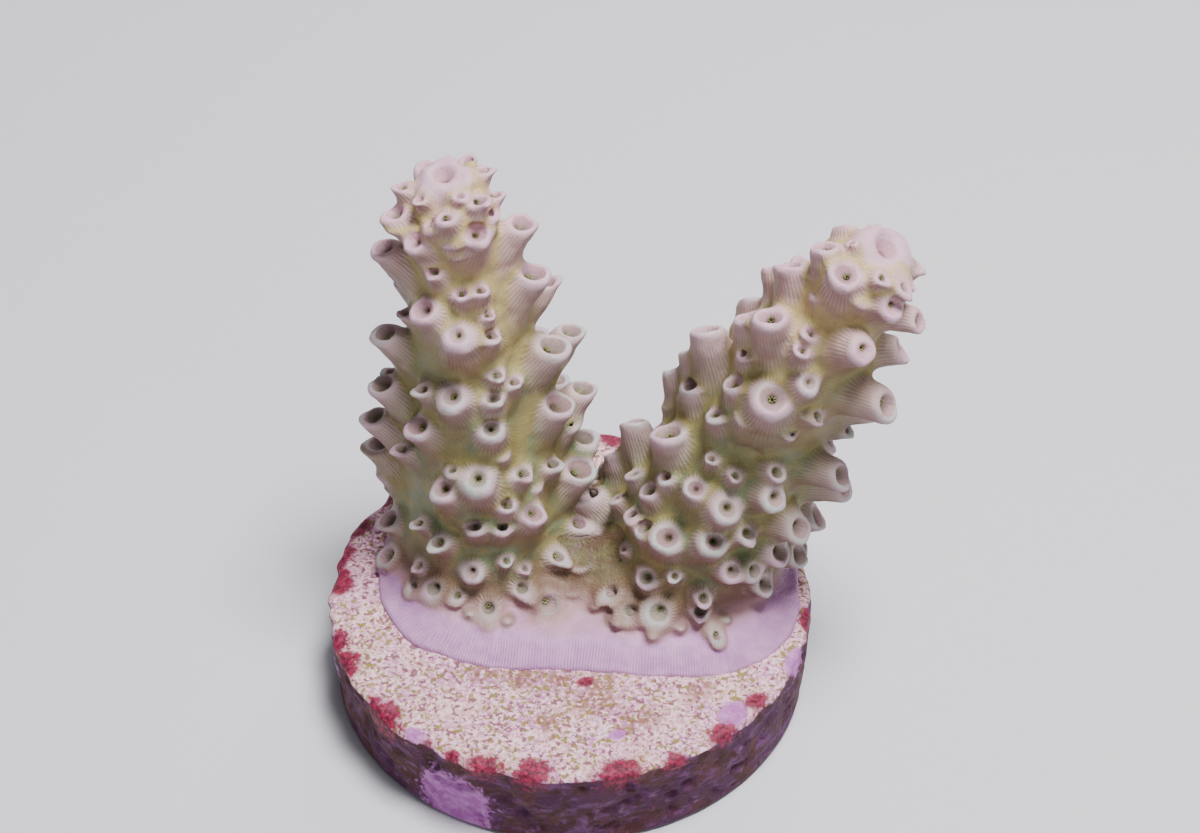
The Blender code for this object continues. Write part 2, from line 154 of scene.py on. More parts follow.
# Corallites of the seen side: height of the mouth along the branch, turn round it in degrees (0
# faces the viewer, + is to the right), how far the mouth stands off the trunk, and the rim's radius
LEFT_CORALLITES = (
    (23.4, 48, 0.8, 0.55), (22.8, 80, 0.8, 0.45), (22.6, -72, 1.2, 0.6), (23.2, 2, 0.9, 0.55),
    (21.9, 33, 1.1, 0.7), (21.0, 85, 1.8, 0.75), (21.7, -38, 1.1, 0.6), (20.1, -88, 1.7, 0.7),
    (18.3, 80, 1.7, 0.85), (18.8, 5, 0.5, 0.45), (18.8, 25, 0.6, 0.45), (16.3, 26, 0.7, 0.5),
    (18.1, -32, 1.2, 0.75), (17.0, -2, 1.4, 0.8), (18.2, -105, 1.3, 0.5), (14.9, -85, 1.6, 0.75),
    (16.4, 105, 1.8, 0.55), (14.2, 75, 1.8, 0.9), (13.6, 98, 2.4, 0.7), (14.0, 26, 0.5, 0.45),
    (13.2, 40, 0.5, 0.45), (13.2, -40, 0.7, 0.5), (13.5, -11, 1.3, 0.8), (12.9, 19, 0.7, 0.55),
    (10.9, 68, 1.5, 0.85), (10.0, 95, 2.2, 0.75), (10.8, -110, 1.4, 0.5), (9.6, -88, 2.1, 0.75),
    (11.1, -42, 1.1, 0.75), (11.2, 14, 0.9, 0.7), (8.1, 31, 0.6, 0.55), (8.8, 0, 1.4, 0.9),
    (7.8, -24, 1.1, 0.7), (6.7, 16, 0.7, 0.5), (5.9, 32, 1.1, 0.7), (5.6, -5, 0.7, 0.5),
    (5.3, 12, 0.5, 0.45), (4.4, -28, 0.9, 0.55), (6.3, 75, 1.4, 0.85), (6.8, 95, 1.5, 0.8),
    (7.5, 57, 0.6, 0.5), (9.0, -60, 1.0, 0.45), (3.2, 68, 0.8, 0.55), (2.9, -78, 1.1, 0.7),
    (2.8, -8, 0.9, 0.6), (2.6, 45, 0.8, 0.5), (1.2, -68, 1.0, 0.65), (1.6, 20, 0.6, 0.5),
    (0.3, 33, 1.0, 0.7), (0.8, 1, 0.7, 0.55), (1.3, -30, 0.8, 0.65),
)
RIGHT_CORALLITES = (
    (23.2, -80, 1.4, 0.7), (23.3, -42, 1.3, 0.8), (23.9, 25, 0.8, 0.45), (23.0, 17, 1.3, 0.65),
    (21.9, 62, 1.7, 0.6), (20.9, -92, 1.6, 0.75), (19.3, -115, 1.6, 0.6), (15.3, -95, 2.4, 0.85),
    (19.3, -62, 2.0, 0.85), (13.0, -105, 2.0, 0.65), (20.8, 8, 1.9, 0.75), (18.8, -30, 0.9, 0.45),
    (17.3, 52, 2.4, 0.85), (10.9, -112, 1.9, 0.75), (12.0, -88, 1.2, 0.65), (14.7, -58, 1.1, 0.6),
    (15.9, -27, 1.5, 1.0), (17.4, -10, 1.0, 0.6), (12.5, -56, 0.8, 0.5), (15.4, 15, 0.6, 0.45),
    (9.7, -73, 1.5, 0.9), (12.0, 52, 2.1, 0.75), (7.0, -108, 1.9, 0.75), (7.6, -58, 0.6, 0.45),
    (6.4, -62, 0.9, 0.6), (8.6, -36, 0.9, 0.6), (9.1, -12, 1.5, 0.8), (10.5, 12, 1.5, 0.7),
    (11.6, 8, 0.7, 0.5), (9.8, 75, 2.2, 0.8), (8.3, 42, 1.7, 0.8), (7.6, 10, 0.9, 0.55),
    (5.5, -34, 1.2, 0.8), (4.7, -50, 0.8, 0.6), (4.7, -62, 0.8, 0.5), (6.9, -9, 1.5, 0.75),
    (6.0, 40, 1.2, 0.7), (5.0, 60, 1.5, 0.75), (5.0, 10, 1.2, 0.6), (4.9, 25, 1.1, 0.6),
    (3.5, 38, 1.1, 0.65), (3.0, 0, 1.0, 0.5), (2.5, -35, 0.9, 0.6), (0.6, -47, 0.8, 0.5),
    (1.3, -20, 1.1, 0.8), (0.6, -33, 0.9, 0.55), (2.0, 1, 0.7, 0.5),
)

# Small corallites and pits between them, too fine for the CAD model
LEFT_SMALL = (
    (23.5, -42, 0.2, 0.34), (23.6, 30, 0.2, 0.34), (23.7, 100, 0.5, 0.42), (23.4, 150, 0.6, 0.45),
    (22.4, -18, 0.5, 0.4), (21.5, 4, 0.4, 0.36), (22.2, 58, 0.7, 0.42), (19.9, -22, 0.5, 0.4),
    (23.6, -85, 0.6, 0.4), (21.8, -62, 0.8, 0.35), (20.7, 8, 0.2, 0.3), (17.3, 28, 0.5, 0.35),
    (16.4, -75, 0.5, 0.35), (12.9, -100, 1.1, 0.4), (9.2, 20, 0.2, 0.3), (8.6, -19, 0.4, 0.35),
    (6.6, 42, 0.2, 0.25), (6.3, -95, 1.6, 0.4), (4.8, -45, 0.7, 0.4), (2.1, -43, 0.6, 0.4),
    (3.2, 13, 0.4, 0.35), (2.5, 24, 0.4, 0.3), (1.3, -16, 0.6, 0.35), (0.8, -43, 0.5, 0.4),
)
RIGHT_SMALL = (
    (23.6, 50, 0.35, 0.4), (22.2, 30, 0.5, 0.4), (22.3, -12, 0.4, 0.36), (23.4, 100, 0.45, 0.42),
    (24.0, -75, 0.4, 0.3), (24.0, -8, 0.6, 0.4), (19.3, -35, 0.3, 0.4), (20.8, -58, 0.2, 0.3),
    (16.0, -68, 0.8, 0.4), (10.6, -95, 0.6, 0.3), (12.6, -92, 0.7, 0.35), (13.6, -36, 0.7, 0.4),
    (15.4, 5, 0.3, 0.3), (13.8, 3, 0.3, 0.3), (8.0, -98, 0.7, 0.35), (10.3, -40, 0.4, 0.35),
    (10.5, -18, 0.6, 0.4), (3.4, -20, 0.6, 0.35), (0.5, 15, 0.5, 0.4), (2.6, -58, 0.5, 0.3),
)

# Corallites of the mound: mouth above the plug's top, direction, and the rim's radius
MOUND_CORALLITES = (
    ((2.2, 4.3, 5.1), (0.05, -0.15, 1.0), 0.6),
    ((1.45, 3.4, 3.75), (-0.15, -0.35, 1.0), 0.7),
    ((2.45, 3.5, 4.2), (0.2, -0.3, 1.0), 0.42),
    ((1.0, 4.0, 4.2), (-0.1, -0.2, 1.0), 0.35),
    ((0.55, 0.7, 1.6), (-0.1, -0.8, 0.7), 0.38),
    ((0.1, -0.6, 0.85), (0.0, -0.6, 0.8), 0.3),
    ((1.3, -2.0, 1.0), (-0.2, -0.5, 0.9), 0.13),
    ((2.25, -3.0, 1.05), (0.1, -0.6, 0.8), 0.16),
    ((-5.1, -2.5, 1.05), (-0.2, -0.6, 0.9), 0.15),
    ((-3.15, -2.95, 1.0), (0.0, -0.6, 0.8), 0.15),
    ((5.6, -3.5, 1.05), (0.2, -0.6, 0.8), 0.16),
    ((4.2, -3.95, 0.9), (0.0, -0.5, 0.9), 0.13),
    ((8.0, -2.9, 1.05), (0.6, -0.7, 0.5), 0.15),
)
MOUND_TUBE_LENGTH = 2.6
BASE_ROWS_BELOW = 1.8

CORNERS = tuple(product((0, 1), repeat=3))


def smooth_step(low, high, value):
    share = np.clip((value - low) / (high - low), 0.0, 1.0)
    return share * share * (3.0 - 2.0 * share)


def unit(vector):
    vector = np.asarray(vector, float)
    return vector / np.linalg.norm(vector)


def noise(x, y, z, size, seed):
    """Smooth random values from -1 to 1 that change over a size in millimetres."""
    cells = 24
    lattice = np.random.default_rng(seed).uniform(-1.0, 1.0, (cells,) * 3).astype(np.float32)
    lower, share = [], []
    for place in (x, y, z):
        place = place / size
        floor = np.floor(place)
        part = (place - floor).astype(np.float32)
        lower.append(floor.astype(int))
        share.append(part * part * (3.0 - 2.0 * part))
    value = 0.0
    for corner in CORNERS:
        across, along, up = [(low + step) % cells for low, step in zip(lower, corner)]
        weights = [part if step else 1.0 - part for part, step in zip(share, corner)]
        value = value + lattice[across, along, up] * weights[0] * weights[1] * weights[2]
    return value


def smooth_union(a, b, blend):
    """The lower of two distances, with a fillet as wide as the blend."""
    mix = np.maximum(blend - np.abs(a - b), 0.0) / blend
    return np.minimum(a, b) - mix * mix * blend * 0.25


def smooth_cut(a, b, blend):
    """One form with another cut out of it, and the edge of the cut rounded."""
    return -smooth_union(-a, b, blend)


def spline(a, b, c, d, u):
    """A point between b and c on the smooth curve through four points, for a share u from 0 to 1."""
    bend = 2 * a - 5 * b + 4 * c - d
    twist = 3 * b - a - 3 * c + d
    return 0.5 * (2 * b + (c - a) * u + bend * u * u + twist * u ** 3)


def curve_point(points, share):
    """A point on the smooth curve through evenly spaced points, for a share from 0 to 1."""
    points = np.array(points, float)
    points = np.vstack([2 * points[0] - points[1], points, 2 * points[-1] - points[-2]])
    spans = len(points) - 3
    place = min(max(share, 0.0), 1.0) * spans
    first = min(int(place), spans - 1)
    return spline(*points[first:first + 4], place - first)


def closed_curve(points, steps):
    """Points on the smooth closed curve through an outline's points."""
    neighbours = [np.roll(np.array(points, float), shift, 0) for shift in (1, 0, -1, -2)]
    return np.array([spline(*four, step / steps) for four in zip(*neighbours) for step in range(steps)])


class Branch:
    """A tapering trunk, with places on it given by height along its axis and turn round it."""

    STEPS = 120

    def __init__(self, shape, lean_outer, turned_back):
        self.shape = shape
        self.lean_outer = lean_outer
        self.turned_back = turned_back
        points = [curve_point(shape["axis"], step / self.STEPS) for step in range(self.STEPS + 1)]
        self.points = np.array(points) + (0.0, 0.0, PLUG_HEIGHT)
        steps = np.linalg.norm(np.diff(self.points, axis=0), axis=1)
        self.lengths = np.concatenate([[0.0], np.cumsum(steps)])
        self.length = self.lengths[-1]

    def place(self, height):
        """The step of the curve that a height along it falls in, and the share of that step passed."""
        step = min(int(np.searchsorted(self.lengths[1:], height)), self.STEPS - 1)
        span = self.lengths[step + 1] - self.lengths[step]
        return step, (height - self.lengths[step]) / span

    def centre(self, height):
        step, part = self.place(height)
        return self.points[step] + (self.points[step + 1] - self.points[step]) * part

    def along(self, height):
        return unit(self.centre(height + 0.2) - self.centre(height - 0.2))

    def outward(self, height, turn):
        along = self.along(height)
        front = np.array((0.0, -1.0, 0.0))
        front = unit(front - along * front.dot(along))
        return front * cos(radians(turn)) + np.cross(along, front) * sin(radians(turn))

    def radius(self, height):
        radii = self.shape["radii"]
        step, part = self.place(height)
        place = min(max((step + part) / self.STEPS, 0.0), 1.0) * (len(radii) - 1)
        first = min(int(place), len(radii) - 2)
        return radii[first] + (radii[first + 1] - radii[first]) * (place - first)

    def surface(self, height, turn, stand=0.0):
        return self.centre(height) + self.outward(height, turn) * (self.radius(height) + stand)

    def corallite(self, height, turn, stand, radius):
        """One corallite, which leans toward the tip. On a side that is turned back, its mouth faces back.

        A mouth that would lie too deep in the sheet moves up and forward until it is clear of it.
        """
        half_turn = turn if turn < 180 else turn - 360
        full = LEAN_ALONG + (self.lean_outer - LEAN_ALONG) * smooth_step(-20, 40, half_turn)
        lean = radians(LEAN_AT_FOOT + (full - LEAN_AT_FOOT) * smooth_step(0, LEAN_FULL_HEIGHT, height))
        direction = self.outward(height, turn) * cos(lean) + self.along(height) * sin(lean)
        stand += FOOT_STAND * smooth_step(3.0, 0.5, height) + SMALL_STAND * (radius < Corallite.SMALL)
        mouth = self.surface(height, turn, stand)
        sunk = max(PLUG_HEIGHT + LOWEST_MOUTH + 0.4 * radius - mouth[2], 0.0)
        mouth = mouth + sunk * np.array((0.0, -1.0, 1.0))
        root = mouth - direction * (stand / cos(lean) + ROOT_DEPTH + sunk)
        back = self.turned_back * smooth_step(-35, -60, half_turn) * smooth_step(-160, -130, half_turn)
        tipward = unit(self.along(height) * (1.0 - 0.6 * back) + np.array((0.0, back, 0.0)))
        return Corallite(mouth, root, radius, tipward, abs(sin(radians(turn))), back)


def back_rows(branch, seen):
    """Corallites that fill the hidden back evenly: large ones first, then small ones between."""
    rng = random.Random(branch.shape["seed"])
    taken = [branch.surface(height, turn, BACK_STAND) for height, turn, _, _ in seen]
    rows = []
    for tries, clear, stands, radii in BACK_PASSES:
        for _ in range(tries):
            height = rng.uniform(BACK_LOWEST, branch.length - 1.0)
            turn = rng.uniform(*BACK_TURNS)
            slim = 1.0 - TIP_SLIM * smooth_step(branch.length - TIP_REACH, branch.length, height)
            stand = rng.uniform(*stands) * slim
            radius = rng.uniform(*radii) * (1.0 + slim) / 2
            place = branch.surface(height, turn, BACK_STAND)
            if (np.linalg.norm(np.array(taken) - place, axis=1) > clear).all():
                taken.append(place)
                rows.append((height, turn, stand, radius))
    return rows


class Corallite:
    """A tube with a rounded rim and a cup in its mouth. A small one is a half cup with a thick lower lip."""

    SMALL = 0.56            # rims under this radius are half cups, in millimetres
    NUB = 0.26              # and under this radius they have no cup
    RIB_SPACING = 0.15
    TURNED_SLANT = 27       # of a mouth that faces back, in degrees

    def __init__(self, mouth, root, radius, tipward, sideways=0.0, back=0.0, axial=False):
        """Sideways and back say how far it faces to a side of its branch and how far it is turned back.

        An axial corallite is the one at the tip of a branch. The numbers here are shares of the rim's
        radius, apart from the blend, a fillet in millimetres, and the slant and lean, in degrees.
        """
        self.mouth, self.radius = mouth, radius
        self.length = np.linalg.norm(mouth - root)
        self.axis = (mouth - root) / self.length
        self.up = unit(tipward - self.axis * tipward.dot(self.axis))
        self.side = np.cross(self.axis, self.up)
        self.ends = np.array([mouth, root])
        chance = mouth.dot((3.7, 5.1, 7.3)) % 1.0
        lean = np.degrees(np.arcsin(self.axis.dot(tipward)))
        self.cone, self.round, self.blend = 0.38, 0.95 - 0.33 * sideways, 0.35 + 0.75 * radius
        if axial:
            self.cone, self.round, self.blend = 0.0, 0.42, 0.3
            slant, dish, dish_depth, hole, self.lip, self.lobes = 10, 0.38, 0.36, 0.15, 0.0, 0.05
        elif radius < self.SMALL:
            if radius < self.NUB:
                self.cone, self.round = 1.6, 1.0
            slant, dish, dish_depth, hole, self.lip, self.lobes = max(42, 74 - lean), 0.6, 0.7, 0.3, 0.2, 0.03
        else:
            slant, self.lip, self.lobes = max(16 + 8 * sideways, 52 - lean), 0.1, 0.028
            dish, dish_depth = 0.5 + 0.17 * sideways + 0.07 * chance, 0.34 + 0.4 * sideways
            hole = 0.2 + 0.08 * chance
        slant += (self.TURNED_SLANT - slant) * back
        self.warm = 1.0 if axial else min(1.0, 0.5 * sideways + 0.7 * chance)
        self.dish, self.dish_depth, self.hole, self.depth = (
            share * radius for share in (dish, dish_depth, hole, 1.05)
        )
        self.tilt = cos(radians(slant)), sin(radians(slant))
        self.shift = 0.0 if axial else min(0.2, 0.84 - dish) * radius
        self.wave = 2 * pi * chance
        self.ribs = round(2 * pi * radius / self.RIB_SPACING)

    def local(self, x, y, z):
        """Places across the tube, toward the tip of the branch, and along the tube from its mouth."""
        x, y, z = x - self.mouth[0], y - self.mouth[1], z - self.mouth[2]
        return [x * axis[0] + y * axis[1] + z * axis[2] for axis in (self.side, self.up, self.axis)]

    def lid(self, upward, along):
        """Height over the slanting plane of the mouth."""
        return along * self.tilt[0] + upward * self.tilt[1]

    def tube(self, x, y, z):
        """Distance to the tube, which widens toward its root and has a thicker lower lip."""
        across, upward, along = self.local(x, y, z)
        radius, lid = self.radius, self.lid(upward, along)
        away = np.sqrt(across ** 2 + upward ** 2)
        turn = np.arctan2(across, upward)
        sunk = np.clip(-along / self.length, 0.0, 1.0)
        lower = 0.5 - 0.5 * upward / np.maximum(away, 1e-6)
        width = 0.98 + 0.08 * (1.0 - np.exp(-np.maximum(-along, 0.0) / (0.8 * radius)))
        width += self.cone * sunk ** 1.5
        width += self.lobes * (np.cos(3 * turn + self.wave) + 0.8 * np.cos(5 * turn + 2 * self.wave))
        width += self.lip * lower ** 2 * np.exp(-(lid / (0.5 * radius)) ** 2)
        body = -smooth_union(radius * width - away, -lid, self.round * radius)
        return np.maximum(body, -along - self.length - 0.2)

    def cup(self, x, y, z):
        """Distance to the hollow of the mouth: a shallow dish, and a narrow hole down from it."""
        across, upward, along = self.local(x, y, z)
        slope = upward * self.tilt[0] - along * self.tilt[1] - self.shift
        below = np.minimum(self.lid(upward, along), 0.0) / self.dish_depth
        dish = np.sqrt((across ** 2 + slope ** 2) / self.dish ** 2 + below ** 2) - 1.0
        upward = upward - self.shift * self.tilt[0]
        below = np.minimum(along + self.shift * self.tilt[1], 0.0) / self.depth
        hole = np.sqrt((across ** 2 + upward ** 2) / self.hole ** 2 + below ** 2) - 1.0
        both = smooth_union(dish * min(self.dish, self.dish_depth), hole * self.hole, 0.2 * self.radius)
        return np.maximum(both, self.lid(upward, along) - 0.3 * self.radius)

    def reach(self, margin):
        """Two corners of a box that holds the tube."""
        room = 1.6 * self.radius + margin
        return self.ends.min(0) - room, self.ends.max(0) + room


class Grid:
    """Evenly spaced points in a box, where distances are kept."""

    def __init__(self, low, high):
        self.low = np.array(low, float)
        self.shape = tuple(np.ceil((np.array(high) - low) / GRID_STEP).astype(int) + 1)

    def window(self, low, high):
        """The part of the grid between two corners: its slices, and its points' coordinates."""
        start = np.maximum(np.floor((low - self.low) / GRID_STEP).astype(int), 0)
        end = np.minimum(np.ceil((high - self.low) / GRID_STEP).astype(int) + 1, self.shape)
        slices = tuple(slice(*pair) for pair in zip(start, end))
        lines = [
            (self.low[k] + GRID_STEP * np.arange(start[k], end[k])).astype(np.float32) for k in range(3)
        ]
        return slices, (lines[0][:, None, None], lines[1][None, :, None], lines[2][None, None, :])

    def empty(self):
        return np.full(self.shape, 9.0, np.float32)


def outline_distance(x, y, outline):
    """Distance to a closed outline, negative inside it, and the length along it to the nearest place."""
    nearest = np.full(np.broadcast(x, y).shape, 1e3)
    run = np.zeros(nearest.shape)
    inside = np.zeros(nearest.shape, bool)
    passed = 0.0
    for (ax, ay), (bx, by) in zip(outline, np.roll(outline, -1, 0)):
        length = np.hypot(bx - ax, by - ay)
        share = np.clip(((x - ax) * (bx - ax) + (y - ay) * (by - ay)) / length ** 2, 0.0, 1.0)
        distance = np.hypot(x - ax - share * (bx - ax), y - ay - share * (by - ay))
        run = np.where(distance < nearest, passed + share * length, run)
        nearest = np.minimum(nearest, distance)
        if ay != by:
            inside ^= ((ay > y) != (by > y)) & (x < (bx - ax) * (y - ay) / (by - ay) + ax)
        passed += length
    return np.where(inside, -nearest, nearest), run


def add_bar(grid, field, branch, low, high, spread, sections):
    """Joins a stretch of a trunk to a field. Spread widens its low end to nothing at its high end."""
    heights = np.linspace(low, high, sections + 1)
    widths = spread * (1.0 - (heights - low) / (high - low))
    for (near, far), (near_width, far_width) in zip(zip(heights, heights[1:]), zip(widths, widths[1:])):
        a, b = branch.centre(near), branch.centre(far)
        near_radius, far_radius = branch.radius(near) + near_width, branch.radius(far) + far_width
        room = max(near_radius, far_radius) + ROOM
        slices, (x, y, z) = grid.window(np.minimum(a, b) - room, np.maximum(a, b) + room)
        span = b - a
        share = ((x - a[0]) * span[0] + (y - a[1]) * span[1] + (z - a[2]) * span[2]) / span.dot(span)
        share = np.clip(share, 0.0, 1.0)
        squares = [(place - foot - share * step) ** 2 for place, foot, step in zip((x, y, z), a, span)]
        away = np.sqrt(squares[0] + squares[1] + squares[2])
        field[slices] = np.minimum(field[slices], away - near_radius - share * (far_radius - near_radius))


def add_tubes(grid, field, corallites):
    for corallite in corallites:
        slices, place = grid.window(*corallite.reach(0.7))
        field[slices] = smooth_union(field[slices], corallite.tube(*place), corallite.blend)


def sheet_and_mound(grid, branches):
    """The thin sheet with its rounded edge, the branches' feet, and the mound between them."""
    field = grid.empty()
    high = grid.low + GRID_STEP * np.array(grid.shape)
    slices, (x, y, z) = grid.window(grid.low, (high[0], high[1], PLUG_HEIGHT + 3.0))
    outline = closed_curve(SHEET_OUTLINE, 8)
    edge, _ = outline_distance(x[:, :, 0], y[:, :, 0], outline)
    edge = edge + 0.14 * noise(x[:, :, 0], y[:, :, 0], 0.0, 1.3, 3) + 0.1
    edge = edge[:, :, None]
    rise = 0.12 * noise(x, y, 0.0 * z, 2.0, 4) + 0.15 * smooth_step(0.0, 3.0, -edge)
    rise = rise - 0.34 * smooth_step(-2.2, -0.1, edge)
    out = edge + SHEET_EDGE
    up = z - PLUG_HEIGHT - SHEET_TOP - rise + SHEET_EDGE
    corner = np.hypot(np.maximum(out, 0.0), np.maximum(up, 0.0))
    sheet = corner + np.minimum(np.maximum(out, up), 0.0) - SHEET_EDGE
    field[slices] = np.maximum(sheet, PLUG_HEIGHT - SHEET_SUNK - z)
    feet = grid.empty()
    for branch in branches:
        add_bar(grid, feet, branch, -1.5, FORK_HEIGHT, FOOT_SPREAD, 3)
    mound = grid.empty()
    centre = np.array((*MOUND_CENTRE, PLUG_HEIGHT))
    slices, place = grid.window(centre - np.max(MOUND_SIZE) - ROOM, centre + np.max(MOUND_SIZE) + ROOM)
    reach = [((p - c) / size) ** 2 for p, c, size in zip(place, centre, MOUND_SIZE)]
    mound[slices] = (np.sqrt(reach[0] + reach[1] + reach[2]) - 1.0) * min(MOUND_SIZE)
    return smooth_union(smooth_union(field, feet, BASE_FILLET), mound, BASE_FILLET)


def sample(values, places):
    """Values between the grid's points, at places in grid steps."""
    places = np.clip(places, 0.0, np.array(values.shape) - 1.001)
    lower = places.astype(int)
    part = places - lower
    total = 0.0
    for corner in CORNERS:
        weight = np.prod(np.where(corner, part, 1.0 - part), axis=1)
        total = total + weight * values[tuple((lower + corner).T)]
    return total


def surface_of(values, low):
    """Vertices and four-sided faces where the values on a grid pass through zero."""
    shape = np.array(values.shape)
    crossings, rings = [], []
    for axis in range(3):
        others = [other for other in range(3) if other != axis]
        near, far = [slice(None)] * 3, [slice(None)] * 3
        near[axis], far[axis] = slice(None, -1), slice(1, None)
        places = np.argwhere((values[tuple(near)] < 0) != (values[tuple(far)] < 0))
        places = places[((places[:, others] > 0) & (places[:, others] < shape[others] - 1)).all(1)]
        ends = places.copy()
        ends[:, axis] += 1
        start, end = values[tuple(places.T)], values[tuple(ends.T)]
        crossing = places.astype(float)
        crossing[:, axis] += start / (start - end)
        ring = []
        for back in ((0, 0), (1, 0), (1, 1), (0, 1)):
            cell = places.copy()
            cell[:, others] -= back
            ring.append(np.ravel_multi_index(cell.T, shape))
        ring = np.stack(ring, axis=1)
        turned = (start >= 0) != (axis == 1)
        ring[turned] = ring[turned, ::-1]
        crossings.append(np.repeat(crossing, 4, axis=0))
        rings.append(ring)
    rings = np.concatenate(rings)
    _, faces = np.unique(rings, return_inverse=True)
    faces = faces.reshape(rings.shape)
    count = np.bincount(faces.ravel())
    crossings = np.concatenate(crossings)
    places = np.stack([np.bincount(faces.ravel(), crossings[:, k]) / count for k in range(3)], axis=1)
    half_steps = 0.5 * np.eye(3)
    for _ in range(3):
        value = sample(values, places)
        slope = [sample(values, places + half) - sample(values, places - half) for half in half_steps]
        slope = np.stack(slope, axis=1)
        move = value[:, None] * slope / np.maximum((slope ** 2).sum(1), 1e-6)[:, None]
        places -= np.clip(move, -0.3, 0.3)
    return low + GRID_STEP * places, faces


def mesh_object(name, vertices, faces):
    """A smooth mesh object from vertices in millimetres and faces that all have as many corners."""
    corners = faces.shape[1]
    mesh = bpy.data.meshes.new(name)
    mesh.vertices.add(len(vertices))
    mesh.vertices.foreach_set("co", (vertices * MM).astype(np.float32).ravel())
    mesh.loops.add(faces.size)
    mesh.loops.foreach_set("vertex_index", faces.astype(np.int32).ravel())
    mesh.polygons.add(len(faces))
    mesh.polygons.foreach_set("loop_start", np.arange(0, faces.size, corners, dtype=np.int32))
    mesh.update(calc_edges=True)
    mesh.shade_smooth()
    obj = bpy.data.objects.new(name, mesh)
    bpy.context.scene.collection.objects.link(obj)
    return obj


def give(obj, name, values):
    """Keeps a value, or a vector, for each vertex, which the materials read by its name."""
    kind, key = ("FLOAT_VECTOR", "vector") if np.ndim(values) == 2 else ("FLOAT", "value")
    attribute = obj.data.attributes.new(name, kind, "POINT")
    attribute.data.foreach_set(key, np.asarray(values, np.float32).ravel())


def describe(obj, vertices, corallites):
    """Tells each vertex which corallite it belongs to, and where on that corallite it is."""
    x, y, z = vertices.T
    count = len(vertices)
    best, second = np.full(count, 9.0), np.full(count, 9.0)
    tube = np.zeros((count, 3))
    sunk, rim, hollow, warm, ribs = (np.zeros(count) for _ in range(5))
    for corallite in corallites:
        low, high = corallite.reach(2.2)
        near = np.flatnonzero(((vertices > low) & (vertices < high)).all(1))
        place = x[near], y[near], z[near]
        radius, distance = corallite.radius, corallite.tube(*place)
        local = np.stack(corallite.local(*place), axis=1)
        lid = corallite.lid(local[:, 1], local[:, 2])
        away = np.linalg.norm(local, axis=1)
        lower = 0.5 - 0.5 * local[:, 1] / np.maximum(np.hypot(local[:, 0], local[:, 1]), 1e-6)
        crest = smooth_step(-0.95, -0.1, lid / radius) * smooth_step(1.6, 1.1, away / radius)
        upper_rim = 0.6 if radius > corallite.SMALL else 0.3
        crest *= smooth_step(0.16, 0.02, distance) * (upper_rim + (1.0 - upper_rim) * lower)
        crest *= 1.0 - 0.45 * smooth_step(0.65, 1.15, away / radius)
        closer = distance < best[near]
        second[near] = np.where(closer, best[near], np.minimum(second[near], distance))
        mine = near[closer]
        best[mine] = distance[closer]
        tube[mine] = local[closer]
        sunk[mine] = -local[closer, 2] / (corallite.length - 0.5 * ROOT_DEPTH)
        rim[mine] = crest[closer]
        ribs[mine] = corallite.ribs
        warm[mine] = corallite.warm
        bored = smooth_step(0.12, 0.0, corallite.cup(*place) / radius)
        bored *= np.clip(-lid / corallite.depth, 0.0, 1.0)
        bored *= (away < 1.6 * radius) & (radius > corallite.NUB)
        hollow[near] = np.maximum(hollow[near], bored)
    apart, off_tube, sunk = np.clip(second - best, 0.0, 1.0), np.clip(best, 0.0, 3.0), np.clip(sunk, 0.0, 1.0)
    names = ("tube", "ribs", "apart", "off_tube", "toward_root", "rim", "hollow", "warm")
    for name, values in zip(names, (tube, ribs, apart, off_tube, sunk, rim, hollow, warm)):
        give(obj, name, values)


def tentacle(foot, direction, out, length, thick):
    """One short rounded tentacle: its vertices, and the triangles between them."""
    sides = 5
    across = unit(np.cross(direction, out))
    other = np.cross(direction, across)
    vertices, faces = [foot - direction * 0.7 * length], []
    for share, width in ((-0.6, 0.9), (0.0, 1.0), (0.6, 0.8), (1.0, 0.35)):
        for side in range(sides):
            spin = 2 * pi * side / sides
            outward = across * cos(spin) + other * sin(spin)
            vertices.append(foot + direction * length * share + outward * thick * width)
    vertices.append(foot + direction * 1.08 * length)
    for side in range(sides):
        following = (side + 1) % sides
        faces.append((0, 1 + following, 1 + side))
        for low in range(1, 1 + 3 * sides, sides):
            faces.append((low + side, low + following, low + sides + following))
            faces.append((low + side, low + sides + following, low + sides + side))
        faces.append((1 + 4 * sides, 1 + 3 * sides + side, 1 + 3 * sides + following))
    return np.array(vertices), np.array(faces)


def polyps(name, corallites, seed):
    """The small retracted polyps in the cups: a ring of short tentacles round each mouth."""
    rng = np.random.default_rng(seed)
    vertices, faces, count = [], [], 0
    for corallite in corallites:
        if rng.random() < 0.25 or corallite.radius < 0.35:
            continue
        centre = corallite.mouth + corallite.up * corallite.shift - corallite.axis * (0.72 * corallite.depth)
        thick = 0.035 * corallite.radius + 0.02
        turn = rng.uniform(0.0, pi)
        for angle in turn + 2 * pi * np.arange(6) / 6:
            out = corallite.side * cos(angle) + corallite.up * sin(angle)
            direction = unit(corallite.axis + out * rng.uniform(0.1, 0.7))
            foot = centre + out * 0.5 * corallite.hole
            part_vertices, part_faces = tentacle(foot, direction, out, rng.uniform(2.0, 3.4) * thick, thick)
            vertices.append(part_vertices)
            faces.append(part_faces + count)
            count += len(part_vertices)
    return mesh_object(name, np.concatenate(vertices), np.concatenate(faces))


